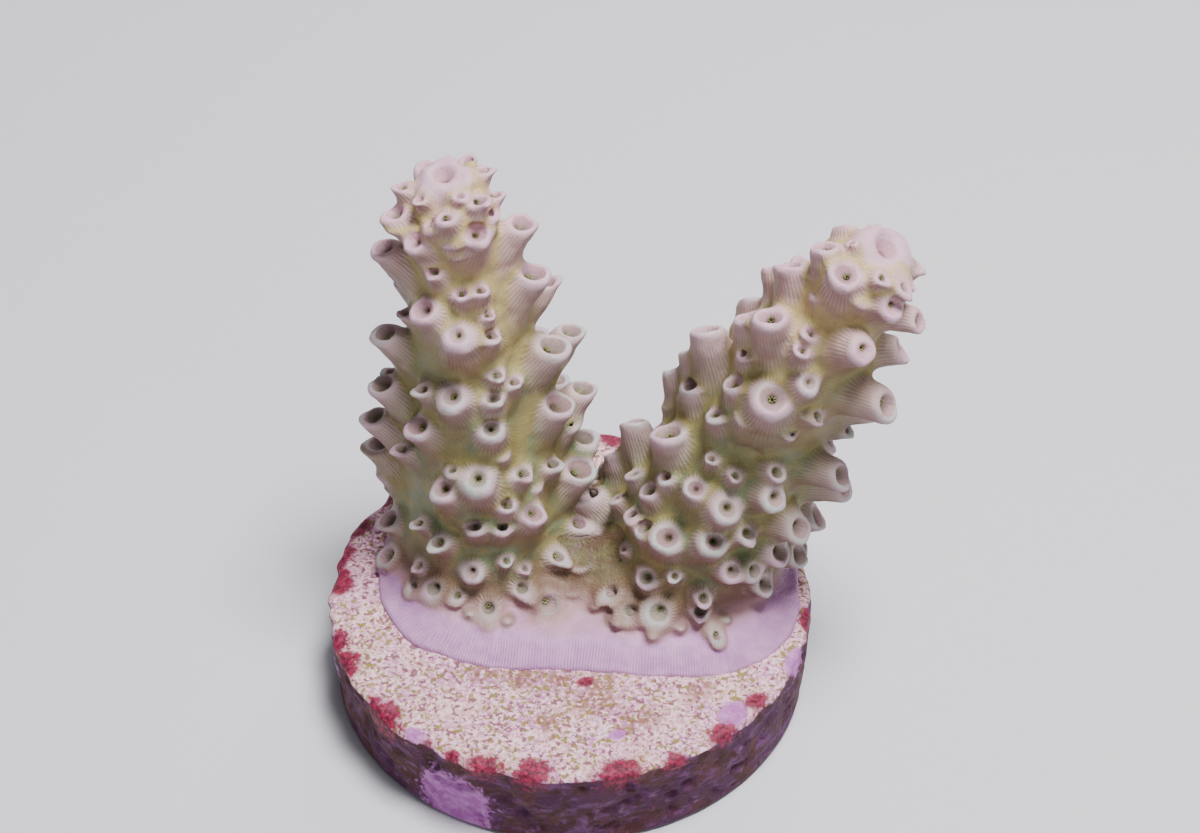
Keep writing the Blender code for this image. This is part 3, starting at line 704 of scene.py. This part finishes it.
def place_corallites(left, right):
    """The corallites of each branch, and those of the base: the mound's and the lowest of both branches."""
    own, low_rows = [], []
    for branch, seen, small in ((left, LEFT_CORALLITES, LEFT_SMALL), (right, RIGHT_CORALLITES, RIGHT_SMALL)):
        rows = list(seen) + back_rows(branch, seen) + list(small)
        tip = branch.shape["tip"]
        top, under = branch.centre(branch.length - 0.15), branch.centre(branch.length - 2.0 * tip)
        axial = Corallite(top, under, tip, branch.outward(branch.length, 0), axial=True)
        own.append([axial] + [branch.corallite(*row) for row in rows if row[0] >= BASE_ROWS_BELOW])
        low_rows += [branch.corallite(*row) for row in rows if row[0] < BASE_ROWS_BELOW]
    for mouth, direction, radius in MOUND_CORALLITES:
        mouth = np.array(mouth) + (0.0, 0.0, PLUG_HEIGHT)
        root = mouth - unit(direction) * MOUND_TUBE_LENGTH * min(1.0, 2.0 * radius)
        low_rows.append(Corallite(mouth, root, radius, np.array((0.0, 0.6, 0.8)), 1.0))
    return own, low_rows


def build_coral():
    """The coral's three surfaces by the names of their nodes, each with the corallites that are its own."""
    left, right = Branch(LEFT, LEAN_ALONG, 0.0), Branch(RIGHT, LEAN_RIGHT_OUTER, 1.0)
    own, low_rows = place_corallites(left, right)
    low, high = np.array(CAD_BOX) / MM + ((-GRID_ROOM,), (GRID_ROOM,))
    low[2] = PLUG_HEIGHT - GRID_ROOM
    grid = Grid(low, high)
    base = sheet_and_mound(grid, (left, right))
    add_tubes(grid, base, low_rows)
    fields = []
    for branch, corallites in zip((left, right), own):
        field = grid.empty()
        add_bar(grid, field, branch, 0.0, branch.length - 1.7 * branch.shape["tip"], 0.0, 24)
        add_tubes(grid, field, corallites)
        fields.append(field)
    whole = smooth_union(smooth_union(base, fields[0], FORK_FILLET), fields[1], FORK_FILLET)
    near = np.abs(whole) < 1.0
    x, y, z = (grid.low[k] + GRID_STEP * places for k, places in enumerate(np.nonzero(near)))
    whole[near] += sum(rise * noise(x, y, z, size, seed) for rise, size, seed in LUMPS)
    rise, size, seed = TIP_LUMPS
    whole[near] += rise * smooth_step(*TIP_LUMPS_RANGE, z) * noise(x, y, z, size, seed)
    every = low_rows + own[0] + own[1]
    for corallite in every:
        if corallite.radius > Corallite.NUB:
            slices, place = grid.window(*corallite.reach(0.4))
            whole[slices] = smooth_cut(whole[slices], corallite.cup(*place), CUP_FILLET * corallite.radius)
    above = PLUG_HEIGHT + FORK_HEIGHT - (grid.low[2] + GRID_STEP * np.arange(grid.shape[2]))
    left_room = np.maximum(fields[0] - np.minimum(base, fields[1]), above)
    right_room = np.maximum(fields[1] - np.minimum(base, fields[0]), above)
    inside_branches = -np.minimum(left_room, right_room)
    sunk = BASE_UNDER * np.clip(inside_branches / BASE_OVERLAP, 0.0, 1.0)
    shapes = {
        "left_branch": (np.maximum(whole, left_room), own[0]),
        "right_branch": (np.maximum(whole, right_room), own[1]),
        "encrusting_base": (np.maximum(whole + sunk, inside_branches - BASE_OVERLAP), low_rows),
    }
    pieces = {}
    for name, (values, corallites) in shapes.items():
        vertices, faces = surface_of(values, grid.low)
        obj = mesh_object(name + "_surface", vertices, faces)
        describe(obj, vertices, every)
        if name == "encrusting_base":
            edge, run = outline_distance(vertices[:, 0], vertices[:, 1], closed_curve(SHEET_OUTLINE, 8))
            low = smooth_step(PLUG_HEIGHT + 1.3, PLUG_HEIGHT + 0.8, vertices[:, 2])
            reach = np.hypot(vertices[:, 0] - MOUND_CENTRE[0], vertices[:, 1] - MOUND_CENTRE[1])
            # How near each vertex lies to the mound, for its dark brown, which is partly painted shade
            give(obj, "mound", smooth_step(4.6, 2.4, reach))
            give(obj, "edge_run", run / EDGE_LINES)
            give(obj, "edge_near", smooth_step(-2.4, -0.4, edge) * low)
        pieces[name] = obj, corallites
    return pieces


# Crusts of algae on the plug: place above the plug's underside, and reach, in millimetres
CRIMSON_CRUSTS = (
    (-11.2, -4.7, 5.1, 1.1), (-11.7, -3.2, 5.1, 0.9), (-9.3, -8.2, 5.0, 1.5), (-6.9, -10.1, 5.2, 0.5),
    (-5.7, -10.9, 5.1, 0.6), (-4.1, -11.5, 5.1, 1.1), (-1.7, -11.9, 5.0, 1.2), (2.5, -11.9, 5.1, 1.4),
    (5.2, -11.1, 4.8, 0.7), (7.6, -9.4, 5.1, 1.0), (9.3, -7.3, 5.1, 0.8), (-11.9, 1.0, 5.1, 1.2),
    (-12.0, 3.0, 5.1, 1.3), (-11.3, 5.0, 5.1, 1.2), (-9.9, 7.2, 5.1, 0.9), (0.4, 11.9, 5.1, 1.3),
    (2.3, 11.9, 5.1, 1.2), (6.0, 10.6, 5.0, 1.0), (11.6, 4.4, 4.9, 1.1), (12.1, -1.6, 4.8, 0.9),
    (-6.2, 10.6, 5.0, 0.8), (0.8, -6.1, 5.2, 0.5),
)
LILAC_CRUSTS = (
    (8.1, -8.2, 5.2, 1.05), (-7.6, -9.5, 5.2, 0.7), (2.4, -9.6, 5.2, 0.5), (-12.2, -2.0, 3.2, 1.6),
    (11.6, -4.6, 5.1, 1.1), (4.0, 11.4, 4.8, 1.2), (-5.8, -11.0, 1.4, 2.4),
)
BROWN_STAINS = (
    (1.2, -7.4, 5.2, 1.7), (3.4, -8.6, 5.2, 1.3), (-1.0, -8.8, 5.2, 1.0), (6.6, -6.6, 5.2, 1.0),
    (-4.2, -5.5, 5.2, 1.2), (-2.4, -5.8, 5.2, 1.3), (-0.6, -6.0, 5.2, 1.3), (1.4, -6.2, 5.2, 1.4),
)


def round_edge(radius, height, bend, upward, turns):
    """Profile points round an edge of the plug, where a turn of 0 faces outward."""
    return [(radius - bend + bend * cos(turn), height - upward * bend * (1.0 - sin(turn))) for turn in turns]


def build_plug():
    """The plug: a cast disc with a worn rim, a pitted side and a grainy top."""
    around = 480
    top = [(radius, PLUG_HEIGHT) for radius in np.linspace(0.16, PLUG_RADIUS - 0.55, 66)]
    rim = round_edge(PLUG_RADIUS, PLUG_HEIGHT, PLUG_RIM_ROUND, 1.0, np.linspace(0.5 * pi - 0.25, 0.0, 7))
    side = zip(np.linspace(PLUG_RADIUS, PLUG_UNDER_RADIUS, 24), np.linspace(PLUG_HEIGHT - 0.6, 0.4, 24))
    foot = round_edge(PLUG_UNDER_RADIUS, 0.0, PLUG_FOOT_ROUND, -1.0, np.linspace(0.3, 0.5 * pi, 5))
    under = [(radius, 0.0) for radius in np.linspace(PLUG_UNDER_RADIUS - 0.8, 0.3, 14)]
    profile = np.array(top + rim + list(side) + foot + under)
    radius, z = np.repeat(profile, around, axis=0).T
    turn = np.tile(np.linspace(0.0, 2 * pi, around, endpoint=False), len(profile))
    x, y = radius * np.cos(turn), radius * np.sin(turn)
    edge = smooth_step(PLUG_RADIUS - 1.4, PLUG_RADIUS - 0.3, radius) * smooth_step(0.0, 1.2, z)
    worn = 0.10 + 0.16 * noise(x, y, z, 1.7, 21) + 0.09 * noise(x, y, z, 0.6, 22)
    pits = np.clip(noise(x, y, 1.6 * z, 0.75, 23) - 0.35, 0.0, 1.0) * 0.55
    inward = edge * (np.clip(worn, 0.0, 1.0) + pits * smooth_step(PLUG_HEIGHT, PLUG_HEIGHT - 0.8, z))
    inward += edge * 0.03 * (1.0 + noise(x, y, z, 0.28, 24))
    upper = smooth_step(PLUG_HEIGHT - 0.7, PLUG_HEIGHT - 0.1, z)
    lower = 0.035 * (1.0 + noise(x, y, z, 0.9, 25)) + 0.03 * (1.0 + noise(x, y, z, 0.3, 26))
    lower += 0.12 * smooth_step(PLUG_RADIUS - 2.2, PLUG_RADIUS, radius) * (1.0 + noise(x, y, z, 1.2, 27))
    scale = (radius - inward) / radius
    vertices = np.stack([x * scale, y * scale, z - lower * upper], axis=1)
    rings = np.arange(len(profile) * around).reshape(len(profile), around)
    a, b = rings[:-1], rings[1:]
    c, d = np.roll(b, -1, 1), np.roll(a, -1, 1)
    triangles = [np.stack([a, b, c], -1).reshape(-1, 3), np.stack([a, c, d], -1).reshape(-1, 3)]
    middle_top, middle_under = len(vertices), len(vertices) + 1
    vertices = np.vstack([vertices, (0.0, 0.0, PLUG_HEIGHT - 0.1), (0.0, 0.0, 0.0)])
    first, last = rings[0], rings[-1]
    triangles.append(np.stack([np.full(around, middle_top), first, np.roll(first, -1)], -1))
    triangles.append(np.stack([np.full(around, middle_under), np.roll(last, -1), last], -1))
    obj = mesh_object("frag_plug_surface", vertices, np.concatenate(triangles))
    for name, places in (("crimson", CRIMSON_CRUSTS), ("lilac", LILAC_CRUSTS), ("brown", BROWN_STAINS)):
        value = np.full(len(vertices), -1.0)
        for *centre, reach in places:
            outward = unit((centre[0], centre[1], 0.0))
            apart = vertices - centre
            across = apart @ outward
            away = np.sqrt((apart ** 2).sum(1) + 0.8 * across ** 2)
            value = np.maximum(value, 1.0 - away / reach)
        give(obj, name, value)
    return obj


class Tree:
    """Adds nodes to a tree. An input that is given a socket is linked to it."""

    def __init__(self, tree):
        self.nodes, self.links = tree.nodes, tree.links

    def add(self, kind, inputs=(), **settings):
        node = self.nodes.new(kind)
        for name, value in settings.items():
            setattr(node, name, value)
        for key, value in dict(inputs).items():
            if isinstance(value, bpy.types.NodeSocket):
                self.links.new(value, node.inputs[key])
            else:
                node.inputs[key].default_value = value
        return node

    def math(self, operation, *values):
        return self.add("ShaderNodeMath", enumerate(values), operation=operation).outputs[0]

    def times(self, value, *others):
        for other in others:
            value = self.math("MULTIPLY", value, other)
        return value

    def step(self, value, low, high):
        """A smooth change from 0 to 1 as a value goes from low to high."""
        inputs = {"Value": value, "From Min": low, "From Max": high}
        return self.add("ShaderNodeMapRange", inputs, interpolation_type="SMOOTHSTEP").outputs[0]

    def mix(self, share, a, b, blend="MIX"):
        """From a to b by a share. Each is a socket, or the red, green and blue of a colour."""
        a, b = (shade if isinstance(shade, bpy.types.NodeSocket) else (*shade, 1.0) for shade in (a, b))
        node = self.add("ShaderNodeMix", {0: share, 6: a, 7: b}, data_type="RGBA", blend_type=blend)
        return node.outputs[2]

    def noise(self, place, size, detail=3.0, roughness=0.55):
        """Noise from 0 to 1 whose lumps measure about a size in millimetres."""
        inputs = {"Vector": place, "Scale": 1.0 / (size * MM), "Detail": detail, "Roughness": roughness}
        return self.add("ShaderNodeTexNoise", inputs).outputs[0]

    def bump(self, height, distance, strength, normal=None):
        """A normal bent by a height, over one that is bent already. The distance is in millimetres."""
        inputs = {"Height": height, "Distance": distance * MM, "Strength": strength}
        if normal:
            inputs["Normal"] = normal
        return self.add("ShaderNodeBump", inputs).outputs[0]

    def kept(self, name, output="Fac"):
        """A value that the mesh keeps for each vertex."""
        return self.add("ShaderNodeAttribute", attribute_name=name).outputs[output]

    def place(self):
        return self.add("ShaderNodeTexCoord").outputs["Object"]

    def split(self, vector):
        return self.add("ShaderNodeSeparateXYZ", {0: vector}).outputs


def new_group(name, inputs, outputs):
    """An empty node group with named float, vector or colour sockets."""
    tree = bpy.data.node_groups.new(name, "ShaderNodeTree")
    for direction, sockets in (("INPUT", inputs), ("OUTPUT", outputs)):
        for socket, kind in sockets.items():
            tree.interface.new_socket(socket, in_out=direction, socket_type="NodeSocket" + kind)
    nodes = Tree(tree)
    return tree, nodes, nodes.add("NodeGroupInput").outputs, nodes.add("NodeGroupOutput").inputs


def make_rib_group():
    """Fine ribs that run along a tube and out over what it grows from, doubling as they part."""
    inputs = {"Tube": "Vector", "Ribs": "Float", "Place": "Vector"}
    tree, n, given, made = new_group("fine_ribs", inputs, {"Height": "Float", "Groove": "Float"})
    across, upward, _ = n.split(given["Tube"])
    turn = n.math("ARCTAN2", across, upward)
    away = n.math("SQRT", n.math("ADD", n.times(across, across), n.times(upward, upward)))
    fitting = n.times(away, 2 * pi / Corallite.RIB_SPACING)
    spread = n.math("DIVIDE", fitting, n.math("MAXIMUM", given["Ribs"], 1.0))
    phase = n.times(turn, given["Ribs"])
    waves = [n.math("COSINE", n.times(phase, times)) for times in (1.0, 2.0, 4.0)]
    doubled, again = n.step(spread, 1.25, 1.8), n.step(spread, 2.6, 3.6)
    wave = n.math("ADD", waves[0], n.times(doubled, n.math("SUBTRACT", waves[1], waves[0])))
    wave = n.math("ADD", wave, n.times(again, n.math("SUBTRACT", waves[2], wave)))
    beads = n.noise(given["Place"], 0.16, 2.0)
    height = n.times(n.math("MULTIPLY_ADD", wave, 0.5, 0.5), n.math("MULTIPLY_ADD", beads, 0.9, 0.4))
    n.links.new(height, made["Height"])
    n.links.new(n.step(wave, 0.1, -0.9), made["Groove"])
    return tree


def make_grain_group():
    """Fine grains and the specks between them, on living tissue and on cast cement."""
    tree, n, given, made = new_group(
        "fine_grain", {"Place": "Vector", "Scale": "Float"}, {"Height": "Float", "Specks": "Float"}
    )
    where = {"Vector": given["Place"], "Scale": given["Scale"]}
    cells = n.add("ShaderNodeTexVoronoi", where).outputs["Distance"]
    fine = n.add("ShaderNodeTexNoise", {**where, "Detail": 3.0}).outputs[0]
    n.links.new(n.math("SUBTRACT", fine, n.times(cells, 0.6)), made["Height"])
    n.links.new(n.step(n.math("SUBTRACT", fine, cells), 0.05, 0.35), made["Specks"])
    return tree


def new_material(name):
    material = bpy.data.materials.new(name)
    material.use_nodes = True
    return material, Tree(material.node_tree), material.node_tree.nodes["Principled BSDF"]


def living_coral(rib_group, grain_group):
    """Tissue over the skeleton: mauve on the sheet, olive between the corallites, pale at their rims."""
    material, n, shader = new_material("living_coral")
    place = n.place()
    height = n.math("SUBTRACT", n.times(n.split(place)[2], 1.0 / MM), PLUG_HEIGHT)
    normal_up = n.split(n.add("ShaderNodeNewGeometry").outputs["Normal"])[2]
    tube = n.kept("tube", "Vector")
    names = ("ribs", "apart", "off_tube", "toward_root", "rim", "hollow", "warm", "edge_run", "edge_near")
    ribs, apart, off_tube, toward_root, rim, hollow, warm, edge_run, edge_near = map(n.kept, names)
    cloud, mottle = n.noise(place, 2.6), n.noise(place, 0.7)
    high = n.step(n.math("ADD", height, n.times(cloud, 5.0)), 13.0, 24.0)
    low = n.step(n.math("ADD", height, n.times(cloud, 2.0)), 4.6, 2.2)

    sheet = n.step(n.math("ADD", height, n.times(cloud, 0.6)), 1.9, 1.0)
    between = n.mix(n.step(cloud, 0.38, 0.62), (0.28, 0.23, 0.08), (0.195, 0.23, 0.115))
    between = n.mix(n.step(mottle, 0.45, 0.75), between, (0.34, 0.28, 0.10))
    between = n.mix(high, between, (0.52, 0.40, 0.17))
    between = n.mix(low, between, (0.18, 0.10, 0.066))
    # Dark brown over the mound between the branches: partly a browner tissue, partly painted shade
    brown = n.mix(n.step(mottle, 0.4, 0.65), (0.10, 0.052, 0.032), (0.13, 0.115, 0.045))
    between = n.mix(n.times(n.kept("mound"), 0.92), between, brown)
    flesh = n.mix(n.step(toward_root, 0.85, 0.4), between, (0.40, 0.32, 0.25))
    flesh = n.mix(n.step(toward_root, 0.45, 0.08), flesh, (0.54, 0.385, 0.37))
    flesh = n.mix(n.times(high, 0.7), flesh, (0.66, 0.42, 0.41))
    flesh = n.mix(n.times(low, 0.6), flesh, (0.33, 0.235, 0.19))
    body = n.mix(n.step(off_tube, 0.0, 0.3), flesh, between)
    # Painted shade: surfaces that face down are darkened toward brown, partly a browner underside tissue,
    # less so on the sheet
    under = n.times(n.step(normal_up, 0.25, -0.6), n.math("MULTIPLY_ADD", sheet, -0.76, 0.76))
    body = n.mix(under, body, (0.14, 0.06, 0.045))

    mauve = n.mix(n.step(mottle, 0.3, 0.7), (0.48, 0.23, 0.47), (0.59, 0.31, 0.54))
    mauve = n.mix(n.step(n.math("ADD", height, n.times(cloud, 0.5)), 0.75, 1.15), mauve, (0.45, 0.26, 0.28))
    body = n.mix(n.times(sheet, n.step(off_tube, 0.0, 0.35)), body, mauve)

    lip = n.mix(high, (0.34, 0.48, 0.44), (0.64, 0.41, 0.58))
    lip = n.mix(n.times(n.step(n.noise(place, 1.8), 0.4, 0.62), 0.85), lip, (0.58, 0.33, 0.50))
    lip = n.mix(n.times(n.step(n.noise(place, 0.3), 0.45, 0.65), 0.35), lip, flesh)
    body = n.mix(n.times(rim, 0.75), body, lip)
    inner = n.mix(warm, (0.27, 0.28, 0.19), (0.42, 0.26, 0.27))
    inner = n.mix(high, inner, (0.55, 0.33, 0.38))
    body = n.mix(n.step(hollow, 0.04, 0.2), body, inner)
    across, upward, _ = n.split(tube)
    spokes = n.math("COSINE", n.times(n.math("ARCTAN2", across, upward), 12.0))
    spokes = n.times(spokes, n.step(hollow, 0.02, 0.14), n.step(hollow, 0.7, 0.4))
    body = n.mix(n.times(n.step(spokes, 0.0, 0.9), 0.1), body, lip)
    # Painted shade: deep in each cup's hole the colour is darkened to near black
    body = n.mix(n.times(n.step(hollow, 0.3, 0.8), 0.9), body, (0.07, 0.06, 0.02))

    rib = n.add("ShaderNodeGroup", {}, node_tree=rib_group)
    for name, socket in (("Tube", tube), ("Ribs", ribs), ("Place", place)):
        n.links.new(socket, rib.inputs[name])
    shown = n.times(n.step(apart, 0.02, 0.22), n.step(off_tube, 0.8, 0.1), n.step(rim, 0.42, 0.0))
    shown = n.times(shown, n.step(hollow, 0.2, 0.02), n.math("MULTIPLY_ADD", sheet, -0.8, 1.0))
    groove = n.times(rib.outputs["Groove"], shown, 0.36)
    body = n.mix(groove, body, (0.52, 0.44, 0.38), "MULTIPLY")
    comb = n.math("COSINE", n.times(edge_run, 2 * pi))
    body = n.mix(n.times(n.step(comb, 0.2, -0.9), edge_near, 0.25), body, (0.2, 0.09, 0.2))

    grain = n.add("ShaderNodeGroup", {"Place": place, "Scale": 6500.0}, node_tree=grain_group)
    body = n.mix(n.times(grain.outputs["Specks"], 0.05), body, (0.62, 0.56, 0.46))
    n.links.new(body, shader.inputs["Base Color"])
    n.links.new(n.math("MULTIPLY_ADD", mottle, 0.25, 0.42), shader.inputs["Roughness"])
    shader.inputs["Subsurface Weight"].default_value = 0.12
    shader.inputs["Subsurface Radius"].default_value = (1.0, 0.6, 0.5)
    shader.inputs["Subsurface Scale"].default_value = 0.0004
    shader.inputs["Specular IOR Level"].default_value = 0.4
    lines = n.math("ADD", n.times(rib.outputs["Height"], shown), n.times(comb, edge_near))
    lines = n.math("MULTIPLY_ADD", spokes, 0.3, lines)
    fine = n.bump(grain.outputs["Height"], 0.05, 0.5)
    n.links.new(n.bump(lines, 0.035, 0.55, fine), shader.inputs["Normal"])
    return material


def polyp_flesh():
    """The retracted polyps: yellow-green, paler in places."""
    material, n, shader = new_material("polyp_flesh")
    place = n.place()
    tone = n.step(n.noise(place, 0.3), 0.3, 0.7)
    n.links.new(n.mix(tone, (0.15, 0.17, 0.05), (0.34, 0.36, 0.16)), shader.inputs["Base Color"])
    n.links.new(n.math("MULTIPLY_ADD", tone, 0.2, 0.35), shader.inputs["Roughness"])
    return material


def crusted_cement(grain_group):
    """Cast cement with olive specks, stained and patched with crimson and lilac crusts of algae."""
    material, n, shader = new_material("crusted_cement")
    place = n.place()
    height = n.times(n.split(place)[2], 1.0 / MM)
    normal_up = n.split(n.add("ShaderNodeNewGeometry").outputs["Normal"])[2]
    # Cream where the top faces up; elsewhere the side's colours, which are darkened partly as painted shade
    top = n.times(n.step(height, PLUG_HEIGHT - 0.9, PLUG_HEIGHT - 0.3), n.step(normal_up, 0.25, 0.7))
    cloud, mottle, fine = n.noise(place, 2.4), n.noise(place, 0.55), n.noise(place, 0.22)
    ragged = n.math("MULTIPLY_ADD", n.math("ADD", mottle, fine), 0.9, -0.9)

    cream = n.mix(n.step(cloud, 0.35, 0.65), (0.52, 0.20, 0.40), (0.64, 0.36, 0.35))
    cream = n.mix(n.step(fine, 0.4, 0.6), cream, (0.90, 0.60, 0.67))
    cream = n.mix(n.times(n.step(n.noise(place, 1.3), 0.56, 0.7), 0.5), cream, (0.52, 0.20, 0.42))
    specks = n.step(n.noise(place, 0.24, 1.0), 0.55, 0.64)
    cream = n.mix(n.times(specks, 0.85), cream, (0.18, 0.045, 0.07))
    olive = n.times(n.step(n.noise(place, 0.29, 2.0), 0.56, 0.62), n.step(n.noise(place, 3.0), 0.32, 0.5))
    cream = n.mix(n.times(olive, 0.9), cream, (0.25, 0.21, 0.02))
    stain = n.step(n.math("ADD", n.kept("brown"), ragged), -0.2, 0.7)
    stain = n.times(stain, n.step(n.noise(place, 0.32, 2.0), 0.4, 0.55))
    cream = n.mix(n.times(stain, 0.8), cream, (0.24, 0.10, 0.05))

    # The side's dark maroon and purple-brown: partly its own colour, partly painted shade
    flattened = n.add("ShaderNodeVectorMath", {0: place, 1: (1.0, 1.0, 2.6)}, operation="MULTIPLY").outputs[0]
    side = n.mix(n.step(cloud, 0.38, 0.62), (0.075, 0.016, 0.06), (0.09, 0.026, 0.026))
    side = n.mix(n.step(n.noise(flattened, 1.3), 0.5, 0.66), side, (0.14, 0.045, 0.13))
    side = n.mix(n.times(n.step(mottle, 0.58, 0.72), 0.6), side, (0.26, 0.11, 0.23))
    side = n.mix(n.step(n.noise(place, 0.9), 0.52, 0.68), side, (0.055, 0.014, 0.012))
    side = n.mix(n.times(n.step(fine, 0.55, 0.7), 0.7), side, (0.02, 0.008, 0.014))
    body = n.mix(top, side, cream)

    lilac = n.step(n.math("ADD", n.kept("lilac"), n.times(ragged, 0.9)), 0.0, 0.25)
    pale = n.mix(n.step(mottle, 0.4, 0.65), (0.40, 0.11, 0.40), (0.54, 0.22, 0.54))
    body = n.mix(n.times(lilac, 0.92), body, pale)
    crimson = n.step(n.math("ADD", n.kept("crimson"), n.times(ragged, 1.3)), -0.05, 0.4)
    red = n.mix(n.step(fine, 0.38, 0.62), (0.10, 0.002, 0.018), (0.29, 0.01, 0.055))
    body = n.mix(crimson, body, red)
    n.links.new(body, shader.inputs["Base Color"])
    n.links.new(n.math("MULTIPLY_ADD", crimson, -0.25, 0.85), shader.inputs["Roughness"])
    grain = n.add("ShaderNodeGroup", {"Place": place, "Scale": 4200.0}, node_tree=grain_group)
    coarse = n.bump(mottle, 0.12, 0.6)
    n.links.new(n.bump(grain.outputs["Height"], 0.08, 0.8, coarse), shader.inputs["Normal"])
    return material


def add_camera():
    """The photograph's view: from the front, looking down at 42.6 degrees."""
    data = bpy.data.cameras.new("camera")
    data.lens = 87.5
    data.sensor_width = 36.0
    data.clip_start = 0.005
    camera = bpy.data.objects.new("camera", data)
    camera.location = (0.001543, -0.104290, 0.113392)
    camera.rotation_euler = (radians(47.4), 0.0, 0.0)
    bpy.context.scene.collection.objects.link(camera)
    bpy.context.scene.camera = camera


def add_light(name, location, size, power, tint):
    """A square softbox that faces the coral."""
    data = bpy.data.lights.new(name, "AREA")
    data.size = size
    data.energy = power
    data.color = tint
    light = bpy.data.objects.new(name, data)
    light.location = location
    aim = unit(np.array((0.0, 0.0, 0.014)) - location)
    light.rotation_euler = (np.arccos(-aim[2]), 0.0, np.arctan2(-aim[0], aim[1]))
    bpy.context.scene.collection.objects.link(light)


def add_studio():
    bpy.ops.mesh.primitive_plane_add(size=3.0)
    floor = bpy.context.object
    floor.name = "floor"
    material, n, shader = new_material("pale_floor")
    shader.inputs["Base Color"].default_value = (0.66, 0.66, 0.69, 1.0)
    shader.inputs["Roughness"].default_value = 0.9
    floor.data.materials.append(material)
    world = bpy.data.worlds.new("studio")
    world.use_nodes = True
    background = world.node_tree.nodes["Background"]
    background.inputs["Color"].default_value = (0.86, 0.88, 0.95, 1.0)
    background.inputs["Strength"].default_value = 0.17
    bpy.context.scene.world = world
    add_light("key", (0.05, -0.02, 0.26), 0.08, 1.3, (1.0, 0.98, 1.0))
    add_light("fill", (0.12, -0.24, 0.14), 0.2, 0.13, (0.95, 0.97, 1.0))
    add_light("rim", (0.05, 0.20, 0.16), 0.14, 0.2, (0.96, 0.97, 1.0))


def main():
    rib_group, grain_group = make_rib_group(), make_grain_group()
    coral, flesh, cement = living_coral(rib_group, grain_group), polyp_flesh(), crusted_cement(grain_group)
    pieces = build_coral()
    plug = build_plug()
    plug.data.materials.append(cement)
    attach(plug, "root")
    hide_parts("frag_plug")
    for name, (piece, corallites) in pieces.items():
        piece.data.materials.append(coral)
        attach(piece, "root")
        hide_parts(name)
        crown = polyps(name + "_polyps", corallites, len(name))
        crown.data.materials.append(flesh)
        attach(crown, "root")
    add_studio()
    add_camera()


main()
